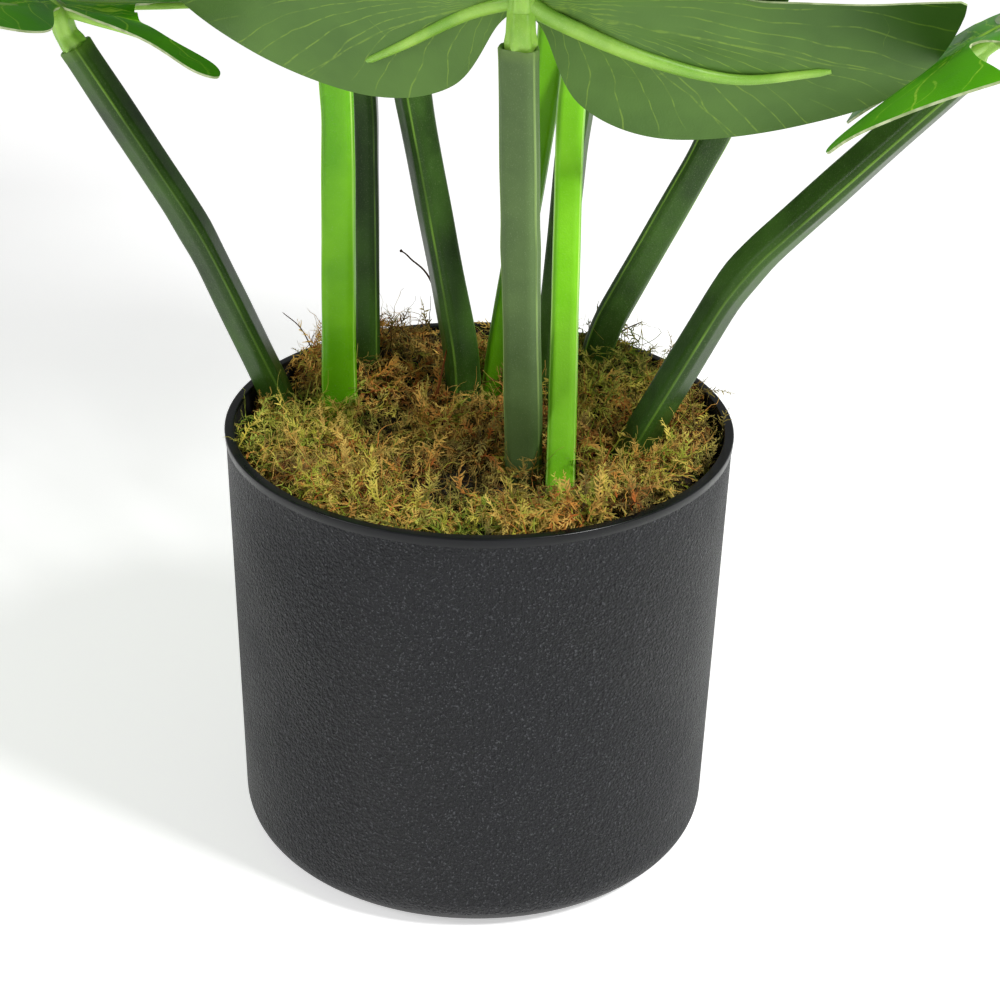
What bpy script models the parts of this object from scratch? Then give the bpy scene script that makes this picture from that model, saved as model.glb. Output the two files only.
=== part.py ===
"""A potted monstera, 0.75 m tall: ten leaves on moulded stalks, set in a weighted black pot under moss.

The frame: +Z up, origin at the centre of the pot's flat base, -Y towards the low front leaf.
Each leaf is three pieces that plug together: a stalk, a blade, and a rib moulding under the blade,
whose neck sits in the stalk's open end.
"""

import math
import random

import bmesh
import bpy
from mathutils import Matrix, Vector
from mathutils.geometry import delaunay_2d_cdt, interpolate_bezier

# ---------------------------------------------------------------- driving dimensions, in metres
POT_RADIUS = 0.090
POT_HEIGHT = 0.160
POT_BASE_RADIUS = 0.0857
POT_BASE_FILLET = 0.014
POT_WALL = 0.0026
LIP_WIDTH = 0.0034
LIP_DROP = 0.0036
LIP_STEP = 0.0005
POT_FLOOR = 0.0035
POT_SEGMENTS = 48

GAP = 0.0003
PLUG_TOP = 0.122
MOSS_EDGE_TOP = 0.1495
MOSS_LEVEL = 0.1545
MOSS_TILT = (0.0025, -0.0020)  # rise towards +X and +Y, from the middle to the wall
MOSS_MOUNDS = ((-0.036, 0.054, 0.026, 0.015), (0.048, 0.052, 0.027, 0.012))  # x, y, width, height
STALK_FOOT_HEIGHT = 0.070
KNEE_REACH = 0.016

BLADE_THICKNESS = 0.0008
RIB_THICKNESS = 0.0022
RIB_CLEARANCE = 0.0012
VALLEY = 0.11
WING_DROOP = 0.28
RIB_WIDTH = 0.0062
SOCKET_DEPTH = 0.008
NECK_REACH = 0.0155

# ---------------------------------------------------------------- the ten leaves
# foot: where the stalk stands in the plug (x, y at STALK_FOOT_HEIGHT). way: the points it passes, the last
# is its open end. width: its width at the moss and at the end. heading, pitch and roll: the way the blade's
# midrib leaves the stalk, in degrees, heading 0 along +X and 90 along +Y. length: from the neck to the tip.
# arch: how far the midrib bends down to the tip. cup: how far the two halves rise from the midrib.
DARK, BRIGHT = "stalk_dark_green", "stalk_bright_green"
LEAVES = (
    dict(foot=(-0.060, 0.034), way=((-0.0705, 0.026, 0.150), (-0.100, 0.021, 0.222), (-0.139, 0.022, 0.287)),
         width=(0.0125, 0.0120), colour=DARK, heading=119, pitch=3.5, roll=14.5, length=0.162, arch=30, cup=0.28),
    dict(foot=(-0.044, 0.010), way=((-0.051, 0.022, 0.155), (-0.050, 0.020, 0.275), (-0.078, -0.012, 0.500)),
         width=(0.0140, 0.0085), colour=BRIGHT, heading=222, pitch=16, roll=4, length=0.215, arch=52, cup=0.14),
    dict(foot=(-0.040, 0.048), way=((-0.041, 0.044, 0.152), (-0.042, 0.060, 0.262), (-0.060, 0.083, 0.328)),
         width=(0.0100, 0.0095), colour=DARK, heading=127, pitch=40, roll=0, length=0.190, arch=42, cup=0.10),
    dict(foot=(-0.010, 0.018), way=((-0.006, 0.029, 0.166), (-0.026, 0.042, 0.267), (-0.070, 0.080, 0.570)),
         width=(0.0135, 0.0115), colour=DARK, heading=135, pitch=30, roll=0, length=0.225, arch=55, cup=0.14),
    dict(foot=(0.014, -0.020), way=((0.016, -0.025, 0.155), (0.013, -0.034, 0.240), (0.011, -0.041, 0.309)),
         width=(0.0130, 0.0135), colour=DARK, heading=272.5, pitch=60, roll=-11, length=0.221, arch=40, cup=0.37),
    dict(foot=(0.004, 0.040), way=((0.006, 0.045, 0.158), (0.022, 0.058, 0.262), (0.038, 0.060, 0.620)),
         width=(0.0115, 0.0080), colour=BRIGHT, heading=75, pitch=50, roll=6, length=0.190, arch=40, cup=0.16),
    dict(foot=(0.027, -0.044), way=((0.028, -0.038, 0.152), (0.029, 0.014, 0.272), (0.046, 0.016, 0.530)),
         width=(0.0105, 0.0080), colour=BRIGHT, heading=292, pitch=20, roll=-4, length=0.210, arch=50, cup=0.14),
    dict(foot=(0.026, 0.020), way=((0.025, 0.030, 0.166), (0.032, 0.042, 0.258), (0.080, 0.110, 0.470)),
         width=(0.0120, 0.0105), colour=DARK, heading=60, pitch=22, roll=0, length=0.215, arch=50, cup=0.12),
    dict(foot=(0.034, 0.042), way=((0.042, 0.046, 0.172), (0.082, 0.048, 0.252), (0.128, 0.070, 0.375)),
         width=(0.0125, 0.0110), colour=DARK, heading=22, pitch=22, roll=0, length=0.200, arch=48, cup=0.12),
    dict(foot=(0.038, -0.014), way=((0.051, -0.015, 0.152), (0.087, -0.0155, 0.224), (0.151, -0.029, 0.297)),
         width=(0.0130, 0.0125), colour=DARK, heading=358, pitch=35, roll=-16, length=0.205, arch=30, cup=0.15),
)

# ---------------------------------------------------------------- the blade's outline, in blade lengths
# Half a monstera blade, from the tip round the margin to the notch at the neck: (along, across).
MARGIN = (
    (1.000, 0.000), (0.830, 0.190), (0.600, 0.400), (0.330, 0.560), (0.060, 0.620),
    (-0.130, 0.560), (-0.235, 0.410), (-0.265, 0.230), (-0.200, 0.095), (-0.060, 0.032), (-0.022, 0.000),
)
# Splits between the fingers: where each meets the margin (share of the way round), where its line starts on
# the midrib, and how far out it opens (share of that line).
SPLITS = ((0.135, 0.58, 0.40), (0.240, 0.42, 0.36), (0.345, 0.26, 0.34), (0.450, 0.10, 0.36), (0.560, -0.05, 0.42))
SPLIT_WIDTH = (0.020, 0.050, 0.030)
SPLIT_BEND = 0.16
MARGIN_POINTS = 26
# Leaf 1 lost most of its right basal lobe: past this share of the margin only a narrow finger is left.
NARROW_LEAF, NARROW_FROM = 1, 0.53
NARROW_FINGER = (
    (0.115, 0.610), (0.050, 0.530), (0.030, 0.360), (0.015, 0.200), (-0.060, 0.150), (-0.180, 0.168),
    (-0.310, 0.220), (-0.365, 0.208), (-0.330, 0.165), (-0.200, 0.118), (-0.060, 0.032), (-0.022, 0.000),
)
# Small holes beside the midrib: (along, across, half length, half width).
HOLES = ((0.400, 0.110, 0.045, 0.016), (0.215, 0.125, 0.050, 0.018))
# Ribs of the moulding under the blade: root on the midrib, end (along, across), in blade lengths.
MIDRIB_END = 0.72
SIDE_RIBS = ((0.50, 0.66, 0.22), (0.34, 0.49, 0.31), (0.18, 0.27, 0.38), (0.055, 0.03, 0.42), (0.0, -0.12, 0.40))
NARROW_RIB = (0.0, -0.25, 0.175)
RIB_END_WIDTH = 0.0024


# ---------------------------------------------------------------- small helpers
def material(name, colour, roughness, metallic=0.0):
    made = bpy.data.materials.get(name)
    if made:
        return made
    made = bpy.data.materials.new(name)
    made.use_nodes = True
    shader = made.node_tree.nodes["Principled BSDF"]
    shader.inputs["Base Color"].default_value = (*colour, 1.0)
    shader.inputs["Roughness"].default_value = roughness
    shader.inputs["Metallic"].default_value = metallic
    return made


def add_object(name, bm, finish):
    bmesh.ops.recalc_face_normals(bm, faces=bm.faces)
    mesh = bpy.data.meshes.new(name)
    bm.to_mesh(mesh)
    bm.free()
    mesh.shade_smooth()
    mesh.set_sharp_from_angle(angle=math.radians(35))
    made = bpy.data.objects.new(name, mesh)
    bpy.context.scene.collection.objects.link(made)
    made.data.materials.append(finish)
    return made


def helper(obj):
    """Keeps a cutter out of the model."""
    obj.hide_render = True
    obj.display_type = "WIRE"
    return obj


def boolean(obj, cutter, operation):
    mod = obj.modifiers.new(f"{operation.lower()} {cutter.name}", "BOOLEAN")
    mod.operation = operation
    mod.object = cutter
    return mod


def turned(name, profile, segments, finish):
    """A closed solid of revolution about Z, from an open profile whose two ends lie on the axis."""
    bm = bmesh.new()
    points = [bm.verts.new((radius, 0.0, height)) for radius, height in profile]
    edges = [bm.edges.new(pair) for pair in zip(points, points[1:])]
    bmesh.ops.spin(bm, geom=points + edges, angle=2 * math.pi, steps=segments, axis=(0, 0, 1), cent=(0, 0, 0))
    bmesh.ops.remove_doubles(bm, verts=bm.verts, dist=1e-6)
    return add_object(name, bm, finish)


def catmull_rom(points, per_span):
    """Points on a smooth curve through the given ones."""
    ends = [points[0] * 2 - points[1], *points, points[-1] * 2 - points[-2]]
    smooth = []
    for before, start, end, after in zip(ends, ends[1:], ends[2:], ends[3:]):
        handles = start + (end - before) / 6, end - (after - start) / 6
        smooth += interpolate_bezier(start, *handles, end, per_span + 1)[:-1]
    return [*smooth, points[-1]]


def sweep(name, path, radii, section, finish, socket=0.0, socket_share=0.66):
    """A rod along a path. section: (angle, share of the radius). socket: depth of the hole in its far end."""
    bm = bmesh.new()
    rings = []
    side = None
    for i, (centre, radius) in enumerate(zip(path, radii)):
        along = (path[min(i + 1, len(path) - 1)] - path[max(i - 1, 0)]).normalized()
        side = Vector((1, 0, 0)) if side is None else side
        side = (side - along * side.dot(along)).normalized()
        up = along.cross(side)
        rings.append([(side * math.cos(a) + up * math.sin(a)) * share * radius + centre for a, share in section])
    if socket:
        down = (path[-2] - path[-1]).normalized() * socket
        mouth = [path[-1] + (point - path[-1]) * socket_share for point in rings[-1]]
        rings += [mouth, [point + down for point in mouth]]
    made = [[bm.verts.new(point) for point in ring] for ring in rings]
    for lower, upper in zip(made, made[1:]):
        for k in range(len(section)):
            nxt = (k + 1) % len(section)
            bm.faces.new((lower[k], lower[nxt], upper[nxt], upper[k]))
    bm.faces.new(reversed(made[0]))
    bm.faces.new(made[-1])
    return add_object(name, bm, finish)


# ---------------------------------------------------------------- pot, plug and moss
def pot():
    wall_top = POT_HEIGHT - LIP_DROP
    slope = (POT_RADIUS - LIP_STEP - POT_BASE_RADIUS) / (wall_top - POT_BASE_FILLET)
    fillet = [
        (POT_BASE_RADIUS - POT_BASE_FILLET * (1 - math.sin(a)), POT_BASE_FILLET * (1 - math.cos(a)))
        for a in (math.radians(15 * k) for k in range(7))
    ]
    lip_inner = POT_RADIUS - LIP_WIDTH
    profile = [
        (0.0, 0.0),
        *fillet,
        (POT_RADIUS - LIP_STEP, wall_top),
        (POT_RADIUS, wall_top),
        (POT_RADIUS, POT_HEIGHT - 0.0008),
        (POT_RADIUS - 0.0008, POT_HEIGHT),
        (lip_inner, POT_HEIGHT),
        (lip_inner, POT_HEIGHT - 0.0012),
        (inner_radius(wall_top), POT_HEIGHT - 0.0012),
        (inner_radius(POT_BASE_FILLET), POT_BASE_FILLET),
        (POT_BASE_RADIUS - POT_BASE_FILLET, POT_FLOOR),
        (0.0, POT_FLOOR),
    ]
    assert slope > 0
    return turned("pot", profile, POT_SEGMENTS, material("pot_black", (0.030, 0.031, 0.034), 0.55))


def inner_radius(height):
    """Radius of the pot's inner wall."""
    share = (height - POT_BASE_FILLET) / (POT_HEIGHT - POT_BASE_FILLET)
    return POT_BASE_RADIUS + (POT_RADIUS - POT_BASE_RADIUS) * share - POT_WALL


def plug():
    foot = POT_FLOOR + GAP
    profile = [
        (0.0, foot),
        (POT_BASE_RADIUS - POT_BASE_FILLET - GAP, foot),
        (inner_radius(POT_BASE_FILLET) - 2 * GAP, POT_BASE_FILLET),
        (inner_radius(PLUG_TOP) - 2 * GAP, PLUG_TOP),
        (0.0, PLUG_TOP),
    ]
    return turned("planting_plug", profile, 32, material("plug_grey", (0.20, 0.19, 0.18), 0.95))


def moss_height(x, y):
    """Height of the moss surface: nearly level, with two mounds at the back."""
    height = MOSS_LEVEL + (MOSS_TILT[0] * x + MOSS_TILT[1] * y) / POT_RADIUS
    for at_x, at_y, width, rise in MOSS_MOUNDS:
        height += rise * math.exp(-((x - at_x) ** 2 + (y - at_y) ** 2) / width**2)
    return height


def moss_bed():
    edge = inner_radius(MOSS_EDGE_TOP) - 2 * GAP
    foot = PLUG_TOP + GAP
    profile = [(0.0, foot), (inner_radius(foot) - 2 * GAP, foot), (edge, MOSS_EDGE_TOP)]
    profile += [(edge * share, MOSS_EDGE_TOP) for share in (0.90, 0.72, 0.52, 0.30)] + [(0.0, MOSS_EDGE_TOP)]
    bed = turned("moss_bed", profile, 32, material("moss", (0.16, 0.13, 0.04), 1.0))
    rough = random.Random(7)
    for vertex in bed.data.vertices:
        # The outermost ring stays below the pot's lip.
        if vertex.co.z > MOSS_EDGE_TOP - GAP and math.hypot(vertex.co.x, vertex.co.y) < edge * 0.95:
            lump = rough.uniform(-0.0015, 0.0015)
            vertex.co.z = moss_height(vertex.co.x, vertex.co.y) + lump
    return bed


# ---------------------------------------------------------------- stalks
# Three lengthwise ridges with flat faces between them.
STALK_SECTION = [(math.radians(40 * k), 1.0 if k % 3 == 0 else 0.86) for k in range(9)]


def stalk_path(leaf):
    """Straight lengths from the foot to the open end, with a short bend at each knee."""
    corners = [Vector((*leaf["foot"], STALK_FOOT_HEIGHT)), *map(Vector, leaf["way"])]
    path = [corners[0]]
    for before, knee, after in zip(corners, corners[1:], corners[2:]):
        start = knee + (before - knee).normalized() * KNEE_REACH
        end = knee + (after - knee).normalized() * KNEE_REACH
        path += [start, (start + knee * 2 + end) / 4, end]
    middle = path[-1].lerp(corners[-1], 0.5)
    return [*path, middle, corners[-1]]


def stalk_radii(leaf, path):
    low, high = leaf["width"]
    last = len(path) - 1
    return [(low + (high - low) * i / last) / 2 * 1.06 for i in range(len(path))]


def stalk(number, leaf):
    path = stalk_path(leaf)
    colours = {DARK: (0.045, 0.13, 0.022), BRIGHT: (0.16, 0.46, 0.02)}
    finish = material(leaf["colour"], colours[leaf["colour"]], 0.4)
    radii = stalk_radii(leaf, path)
    sweep(f"stalk_{number:02d}", path, radii, STALK_SECTION, finish, SOCKET_DEPTH)
    buried = [point for point in path if point.z < 0.2] + [point for point in path if point.z >= 0.2][:1]
    down = (buried[0] - buried[1]).normalized() * GAP * 2
    round_section = [(angle, 1.0) for angle, share in STALK_SECTION]
    hole = sweep(f"hole_{number:02d}", [buried[0] + down, *buried[1:]], [r * 1.06 + GAP for r in radii],
                 round_section, finish)
    return helper(hole)


# ---------------------------------------------------------------- blades
def split_line(root, meet, share):
    """A point on the line of a split or side vein: it leaves the midrib and bends towards the tip."""
    knee = Vector((root + SPLIT_BEND * meet.y * 0.6, meet.y * 0.55))
    start = Vector((root, 0.0))
    return start * (1 - share) ** 2 + knee * 2 * share * (1 - share) + meet * share**2


def along_margin(points, share):
    """The point at a share of the way along a line of points."""
    steps = [(b - a).length for a, b in zip(points, points[1:])]
    left = share * sum(steps)
    for (start, end), step in zip(zip(points, points[1:]), steps):
        if left <= step:
            return start.lerp(end, left / step)
        left -= step
    return points[-1].copy()


def split_sides(root, meet, opens):
    """The two sides of one split, each from the margin inwards, and its round inner end."""
    sides = ([], [])
    widths = SPLIT_WIDTH
    for share, width in ((0.985, widths[2]), ((1 + opens) / 2, widths[1]), (opens + 0.04, widths[0])):
        at = split_line(root, meet, share)
        along = (split_line(root, meet, share + 0.01) - at).normalized()
        across = Vector((-along.y, along.x)) * width / 2
        for side, sign in zip(sides, (-1, 1)):
            side.append(at + across * sign)
    return sides, split_line(root, meet, opens)


def half_outline(leaf_random, narrow=False):
    """One half of a blade's outline, from the tip to the notch, with its splits. narrow: its basal lobe is a finger."""
    margin = catmull_rom([Vector(p) for p in MARGIN], 6)
    at = [k / MARGIN_POINTS for k in range(MARGIN_POINTS + 1)]
    outline = []
    done = -1.0
    for meets, root, opens in SPLITS[:-1] if narrow else SPLITS:
        meets += leaf_random.uniform(-0.012, 0.012)
        opens += leaf_random.uniform(-0.06, 0.08)
        meet = along_margin(margin, meets)
        outline += [along_margin(margin, s) for s in at if done < s < meets - 0.022]
        (near_notch, near_tip), inner = split_sides(root, meet, opens)
        if (near_notch[0] - outline[-1]).length < (near_tip[0] - outline[-1]).length:
            near_notch, near_tip = near_tip, near_notch
        outline += [*near_tip, inner, *reversed(near_notch)]
        done = meets + 0.022
    if narrow:
        outline += [along_margin(margin, s) for s in at if done < s < NARROW_FROM]
        return outline + catmull_rom([Vector(p) for p in NARROW_FINGER], 2)
    return outline + [along_margin(margin, s) for s in at if s > done]


def hole_outline(along, across, half_length, half_width):
    turn = Matrix.Rotation(math.radians(68), 2)
    corners = (Vector((half_length * math.cos(a), half_width * math.sin(a))) for a in
               (math.radians(60 * k) for k in range(6)))
    return [Vector((along, across)) + turn @ corner for corner in corners]


def mirrored(points):
    return [Vector((p.x, -p.y)) for p in reversed(points)]


def blade_outlines(number):
    """The blade's outer outline and its holes, in blade lengths."""
    leaf_random = random.Random(100 + number)
    left = half_outline(leaf_random)
    right = half_outline(leaf_random, number == NARROW_LEAF)
    holes = [hole_outline(*hole) for hole in HOLES]
    holes += [mirrored(hole) for hole in holes]
    return left[:-1] + mirrored(right)[:-1], holes


def inside(point, outline):
    """Whether a point lies inside a closed outline."""
    crossings = 0
    for a, b in zip(outline, outline[1:] + outline[:1]):
        if (a.y > point.y) != (b.y > point.y):
            crossings += point.x < a.x + (b.x - a.x) * (point.y - a.y) / (b.y - a.y)
    return crossings % 2 == 1


def filled(outer, holes, spacing):
    """Triangles that fill an outline round its holes, with inner points spacing apart."""
    loops = [outer, *holes]
    points = [p for loop in loops for p in loop]
    edges = []
    for loop in loops:
        first = sum(len(done) for done in loops[: loops.index(loop)])
        edges += [(first + k, first + (k + 1) % len(loop)) for k in range(len(loop))]
    grid = [Vector((column * spacing * 0.75, 0.0)) for column in range(-1, 12)]
    grid += [
        Vector(((column + row % 2 / 2) * spacing, row * spacing)) for column in range(-4, 10) for row in range(-6, 7)
    ]
    for inner in grid if spacing else ():
        if inside(inner, outer) and min((inner - p).length for p in points) > spacing * 0.45:
            points.append(inner)
    points, _, faces, *_ = delaunay_2d_cdt(points, edges, [], 0, 1e-7)
    kept = []
    for face in faces:
        middle = sum((points[i] for i in face), Vector((0, 0))) / 3
        if inside(middle, outer) and not any(inside(middle, hole) for hole in holes):
            kept.append(face)
    return points, kept


def leaf_frame(leaf):
    """(neck point on the blade, along, across, upper normal) of a leaf."""
    heading, pitch, roll = (math.radians(leaf[k]) for k in ("heading", "pitch", "roll"))
    along = Vector((math.cos(pitch) * math.cos(heading), math.cos(pitch) * math.sin(heading), math.sin(pitch)))
    across = Matrix.Rotation(roll, 3, along) @ Vector((-math.sin(heading), math.cos(heading), 0))
    normal = along.cross(across)
    path = stalk_path(leaf)
    rise = (path[-1] - path[-2]).normalized()
    neck = path[-1] + (rise + normal * 0.35).normalized() * NECK_REACH
    return neck, along, across, normal


def finger_lift(number, point):
    """How much the finger at a point of the blade bends up or down, in blade lengths."""
    angle = math.atan2(point.y, point.x)
    reach = max(0.0, (point.length - 0.24) / 0.5)
    wave = math.sin(angle * 5 + number * 1.7) * 0.035 + math.sin(angle * 3 - number) * 0.02
    return wave * reach**1.5


def on_blade(number, leaf, point, depth=0.0):
    """Where a point of the flat outline goes on the bent blade. depth: below its middle surface, in metres."""
    length = leaf["length"]
    neck, along, across, normal = leaf_frame_of[number]
    bend = math.radians(leaf["arch"]) / length
    u, v = point.x * length, point.y * length
    turn = bend * u
    run = math.sin(turn) / bend
    drop = -(1 - math.cos(turn)) / bend
    spread = abs(point.y)
    rise = leaf["cup"] * (math.hypot(spread, VALLEY) - VALLEY) - WING_DROOP * spread**2
    up = (rise + finger_lift(number, point)) * length - depth
    out = along * math.sin(turn) + normal * math.cos(turn)
    return neck + along * run + normal * drop + across * v + out * up


def bent_sheet(name, number, leaf, outlines, spacing, depth, thickness, finish):
    """A thin solid between two offsets of the bent blade."""
    points, faces = filled(*outlines, spacing)
    bm = bmesh.new()
    layers = []
    for level in (depth, depth + thickness):
        layers.append([bm.verts.new(on_blade(number, leaf, p, level)) for p in points])
    for a, b, c in faces:
        bm.faces.new((layers[0][a], layers[0][b], layers[0][c]))
        bm.faces.new((layers[1][c], layers[1][b], layers[1][a]))
    used = {}
    for face in faces:
        for start, end in zip(face, (*face[1:], face[0])):
            used[(start, end)] = used.get((end, start)) is None
            if (end, start) in used:
                used[(end, start)] = used[(start, end)] = False
    for (start, end), rim in used.items():
        if rim:
            bm.faces.new((layers[0][end], layers[0][start], layers[1][start], layers[1][end]))
    return add_object(name, bm, finish)


def blade(number, leaf):
    finish = material("blade_green", (0.035, 0.12, 0.018), 0.42)
    outlines = blade_outlines(number)
    return bent_sheet(f"leaf_{number:02d}", number, leaf, outlines, 0.12, -BLADE_THICKNESS / 2,
                      BLADE_THICKNESS, finish)


# ---------------------------------------------------------------- rib mouldings
def half_rib_outline(leaf, side_ribs):
    """Half the flat outline of a rib moulding, in blade lengths: from the midrib's end back to the neck."""
    length = leaf["length"]
    root, end = RIB_WIDTH / length / 2, RIB_END_WIDTH / length / 2
    half = [Vector((MIDRIB_END, end * 0.7))]
    for start, along, across in side_ribs:
        thick = root + (end - root) * max(0.0, start) / MIDRIB_END
        tip = Vector((along, across))
        run = (tip - Vector((start, 0))).normalized()
        normal = Vector((-run.y, run.x))
        side = thick * 0.8
        knee = (Vector((start, 0)) + tip) / 2 - normal * 0.012
        half += [
            Vector((start + side * 1.15, thick)),
            knee - normal * side * 0.8,
            tip - normal * end * 0.7,
            tip + normal * end * 0.7,
            knee + normal * side * 0.8,
            Vector((start - side * 1.15, thick)),
        ]
    half.append(Vector((-root * 1.6, 0.0)))
    return half


def rib_outline(number, leaf):
    """The flat outline of a rib moulding: a midrib with tapering side ribs on both sides."""
    right_ribs = (*SIDE_RIBS[:-1], NARROW_RIB) if number == NARROW_LEAF else SIDE_RIBS
    return half_rib_outline(leaf, SIDE_RIBS) + mirrored(half_rib_outline(leaf, right_ribs))[1:]


def rib(number, leaf):
    finish = material("rib_light_green", (0.30, 0.52, 0.10), 0.45)
    depth = BLADE_THICKNESS / 2 + RIB_CLEARANCE
    name = f"leaf_rib_{number:02d}"
    made = bent_sheet(name, number, leaf, (rib_outline(number, leaf), []), 0.0, depth, RIB_THICKNESS, finish)
    neck, along, across, normal = leaf_frame_of[number]
    path = stalk_path(leaf)
    end = path[-1]
    rise = (path[-1] - path[-2]).normalized()
    radius = leaf["width"][1] / 2 * 0.52
    under = normal * (depth + radius * 0.72 + GAP)
    way = [end - rise * (SOCKET_DEPTH - 2 * GAP), end + rise * 0.003, neck - under - along * 0.002,
           neck - under + along * 0.009]
    smooth = catmull_rom([way[0], way[1], way[2], way[3]], 3)
    radii = [radius * (1 - 0.28 * k / (len(smooth) - 1)) for k in range(len(smooth))]
    round_section = [(math.radians(45 * k), 1.0) for k in range(8)]
    tube = helper(sweep(f"neck_{number:02d}", smooth, radii, round_section, finish))
    boolean(made, tube, "UNION")
    return made


# ---------------------------------------------------------------- the plant
for old in list(bpy.data.objects):
    bpy.data.objects.remove(old)

leaf_frame_of = {number: leaf_frame(leaf) for number, leaf in enumerate(LEAVES, 1)}
pot()
beds = (plug(), moss_bed())
for number, leaf in enumerate(LEAVES, 1):
    hole = stalk(number, leaf)
    for bed in beds:
        boolean(bed, hole, "DIFFERENCE")
    blade(number, leaf)
    rib(number, leaf)
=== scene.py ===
# %% [markdown]
# # A potted monstera, from pot to leaf
# This is a ready-potted decorative monstera: ten split leaves, each on its own moulded stalk, planted in a
# black pot under dried moss. Everything is built from rules: a turned pot, swept stalks, leaf sheets cut
# from one outline, and thousands of small moss sprigs. All lengths are in metres, with +Z up.

# %% Load the frame
import math
import random

import bpy
import numpy as np
from mathutils import Matrix, Vector
from mathutils.geometry import delaunay_2d_cdt, interpolate_bezier


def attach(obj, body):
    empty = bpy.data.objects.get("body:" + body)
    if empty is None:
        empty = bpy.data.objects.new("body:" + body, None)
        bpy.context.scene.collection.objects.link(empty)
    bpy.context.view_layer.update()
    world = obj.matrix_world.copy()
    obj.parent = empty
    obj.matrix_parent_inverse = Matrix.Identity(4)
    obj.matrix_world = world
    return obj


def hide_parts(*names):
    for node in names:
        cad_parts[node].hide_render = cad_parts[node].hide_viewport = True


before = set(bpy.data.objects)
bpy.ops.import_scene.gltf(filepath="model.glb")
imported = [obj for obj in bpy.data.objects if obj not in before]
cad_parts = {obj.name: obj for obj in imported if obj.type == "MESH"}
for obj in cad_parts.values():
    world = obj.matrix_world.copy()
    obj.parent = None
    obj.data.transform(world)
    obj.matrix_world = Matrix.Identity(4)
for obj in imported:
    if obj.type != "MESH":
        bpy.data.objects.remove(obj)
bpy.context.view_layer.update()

# %% [markdown]
# ## The studio
# A plant in a studio is lit by large soft lamps, so that no shadow has a hard edge. Here a pale
# floor, a bright sky and two large area lamps do that. The stronger lamp stands on the right. The camera
# looks down a little over the pot's rim with a long lens, so that the pot's sides stay nearly parallel.
# The plain "Standard" view keeps the floor white and the greens as strong as they are painted.

# %% Colours, materials and objects
scene = bpy.context.scene
scene.view_settings.view_transform = "Standard"


def paint(red, green, blue):
    """A colour as a painter picks it, 0 to 255, made into the linear values that a shader takes."""
    shares = (value / 255 for value in (red, green, blue))
    return (*(s / 12.92 if s < 0.04045 else ((s + 0.055) / 1.055) ** 2.4 for s in shares), 1.0)


def material(name, roughness, colour=None):
    """A new material with its Principled shader: (material, node tree, shader)."""
    made = bpy.data.materials.new(name)
    made.use_nodes = True
    shader = made.node_tree.nodes["Principled BSDF"]
    shader.inputs["Roughness"].default_value = roughness
    if colour:
        shader.inputs["Base Color"].default_value = colour
    return made, made.node_tree, shader


def link_object(name, data):
    made = bpy.data.objects.new(name, data)
    scene.collection.objects.link(made)
    return made


print("white as the shader takes it:", paint(255, 255, 255))

# %% [markdown]
# ## The floor and the sky
# The floor is one large pale sheet that also shines a little by itself, as a lit backdrop does, so that it stays
# white far from the lamps. The sky is an even white that fills the shadows.

# %% Floor and sky
FLOOR_SIZE = 40.0
floor_mesh = bpy.data.meshes.new("floor")
half = FLOOR_SIZE / 2
floor_mesh.from_pydata([(-half, -half, 0), (half, -half, 0), (half, half, 0), (-half, half, 0)], [], [(0, 1, 2, 3)])
floor = link_object("floor", floor_mesh)
floor_paint, _, floor_shader = material("floor_white", 0.9, (0.86, 0.86, 0.86, 1))
floor_shader.inputs["Specular IOR Level"].default_value = 0.1
floor_shader.inputs["Emission Color"].default_value = (1, 1, 1, 1)
floor_shader.inputs["Emission Strength"].default_value = 0.52
floor.data.materials.append(floor_paint)

world = bpy.data.worlds.new("studio")
world.use_nodes = True
SKY_LIGHT, SKY_SEEN = 0.26, 0.86  # how strongly the sky lights the plant, and how bright it looks behind it
sky = world.node_tree.nodes["Background"]
sky.inputs["Color"].default_value = (1, 1, 1, 1)
rays = world.node_tree.nodes.new("ShaderNodeLightPath")
strength = world.node_tree.nodes.new("ShaderNodeMapRange")
strength.inputs["To Min"].default_value = SKY_LIGHT
strength.inputs["To Max"].default_value = SKY_SEEN
world.node_tree.links.new(rays.outputs["Is Camera Ray"], strength.inputs["Value"])
world.node_tree.links.new(strength.outputs[0], sky.inputs["Strength"])
scene.world = world
print("floor:", FLOOR_SIZE, "m wide")

# %% [markdown]
# ## Lamps and camera
# Two round soft lamps stand in front, the stronger one on the right. The camera is turned in three steps, each a
# rotation matrix: first down from the level, then a little sideways, and last a small tilt about its own axis.


# %% Lamps and camera
def softbox(name, at, aim, size, watts):
    lamp = bpy.data.lights.new(name, "AREA")
    lamp.shape = "DISK"
    lamp.size = size
    lamp.energy = watts
    placed = link_object(name, lamp)
    placed.location = at
    placed.rotation_euler = (Vector(aim) - Vector(at)).to_track_quat("-Z", "Y").to_euler()
    return placed


softbox("key_lamp", (1.3, -0.9, 1.7), (0, 0, 0.2), 0.45, 44)
softbox("fill_lamp", (-1.6, -0.8, 1.3), (0, 0, 0.2), 0.6, 11)

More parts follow.
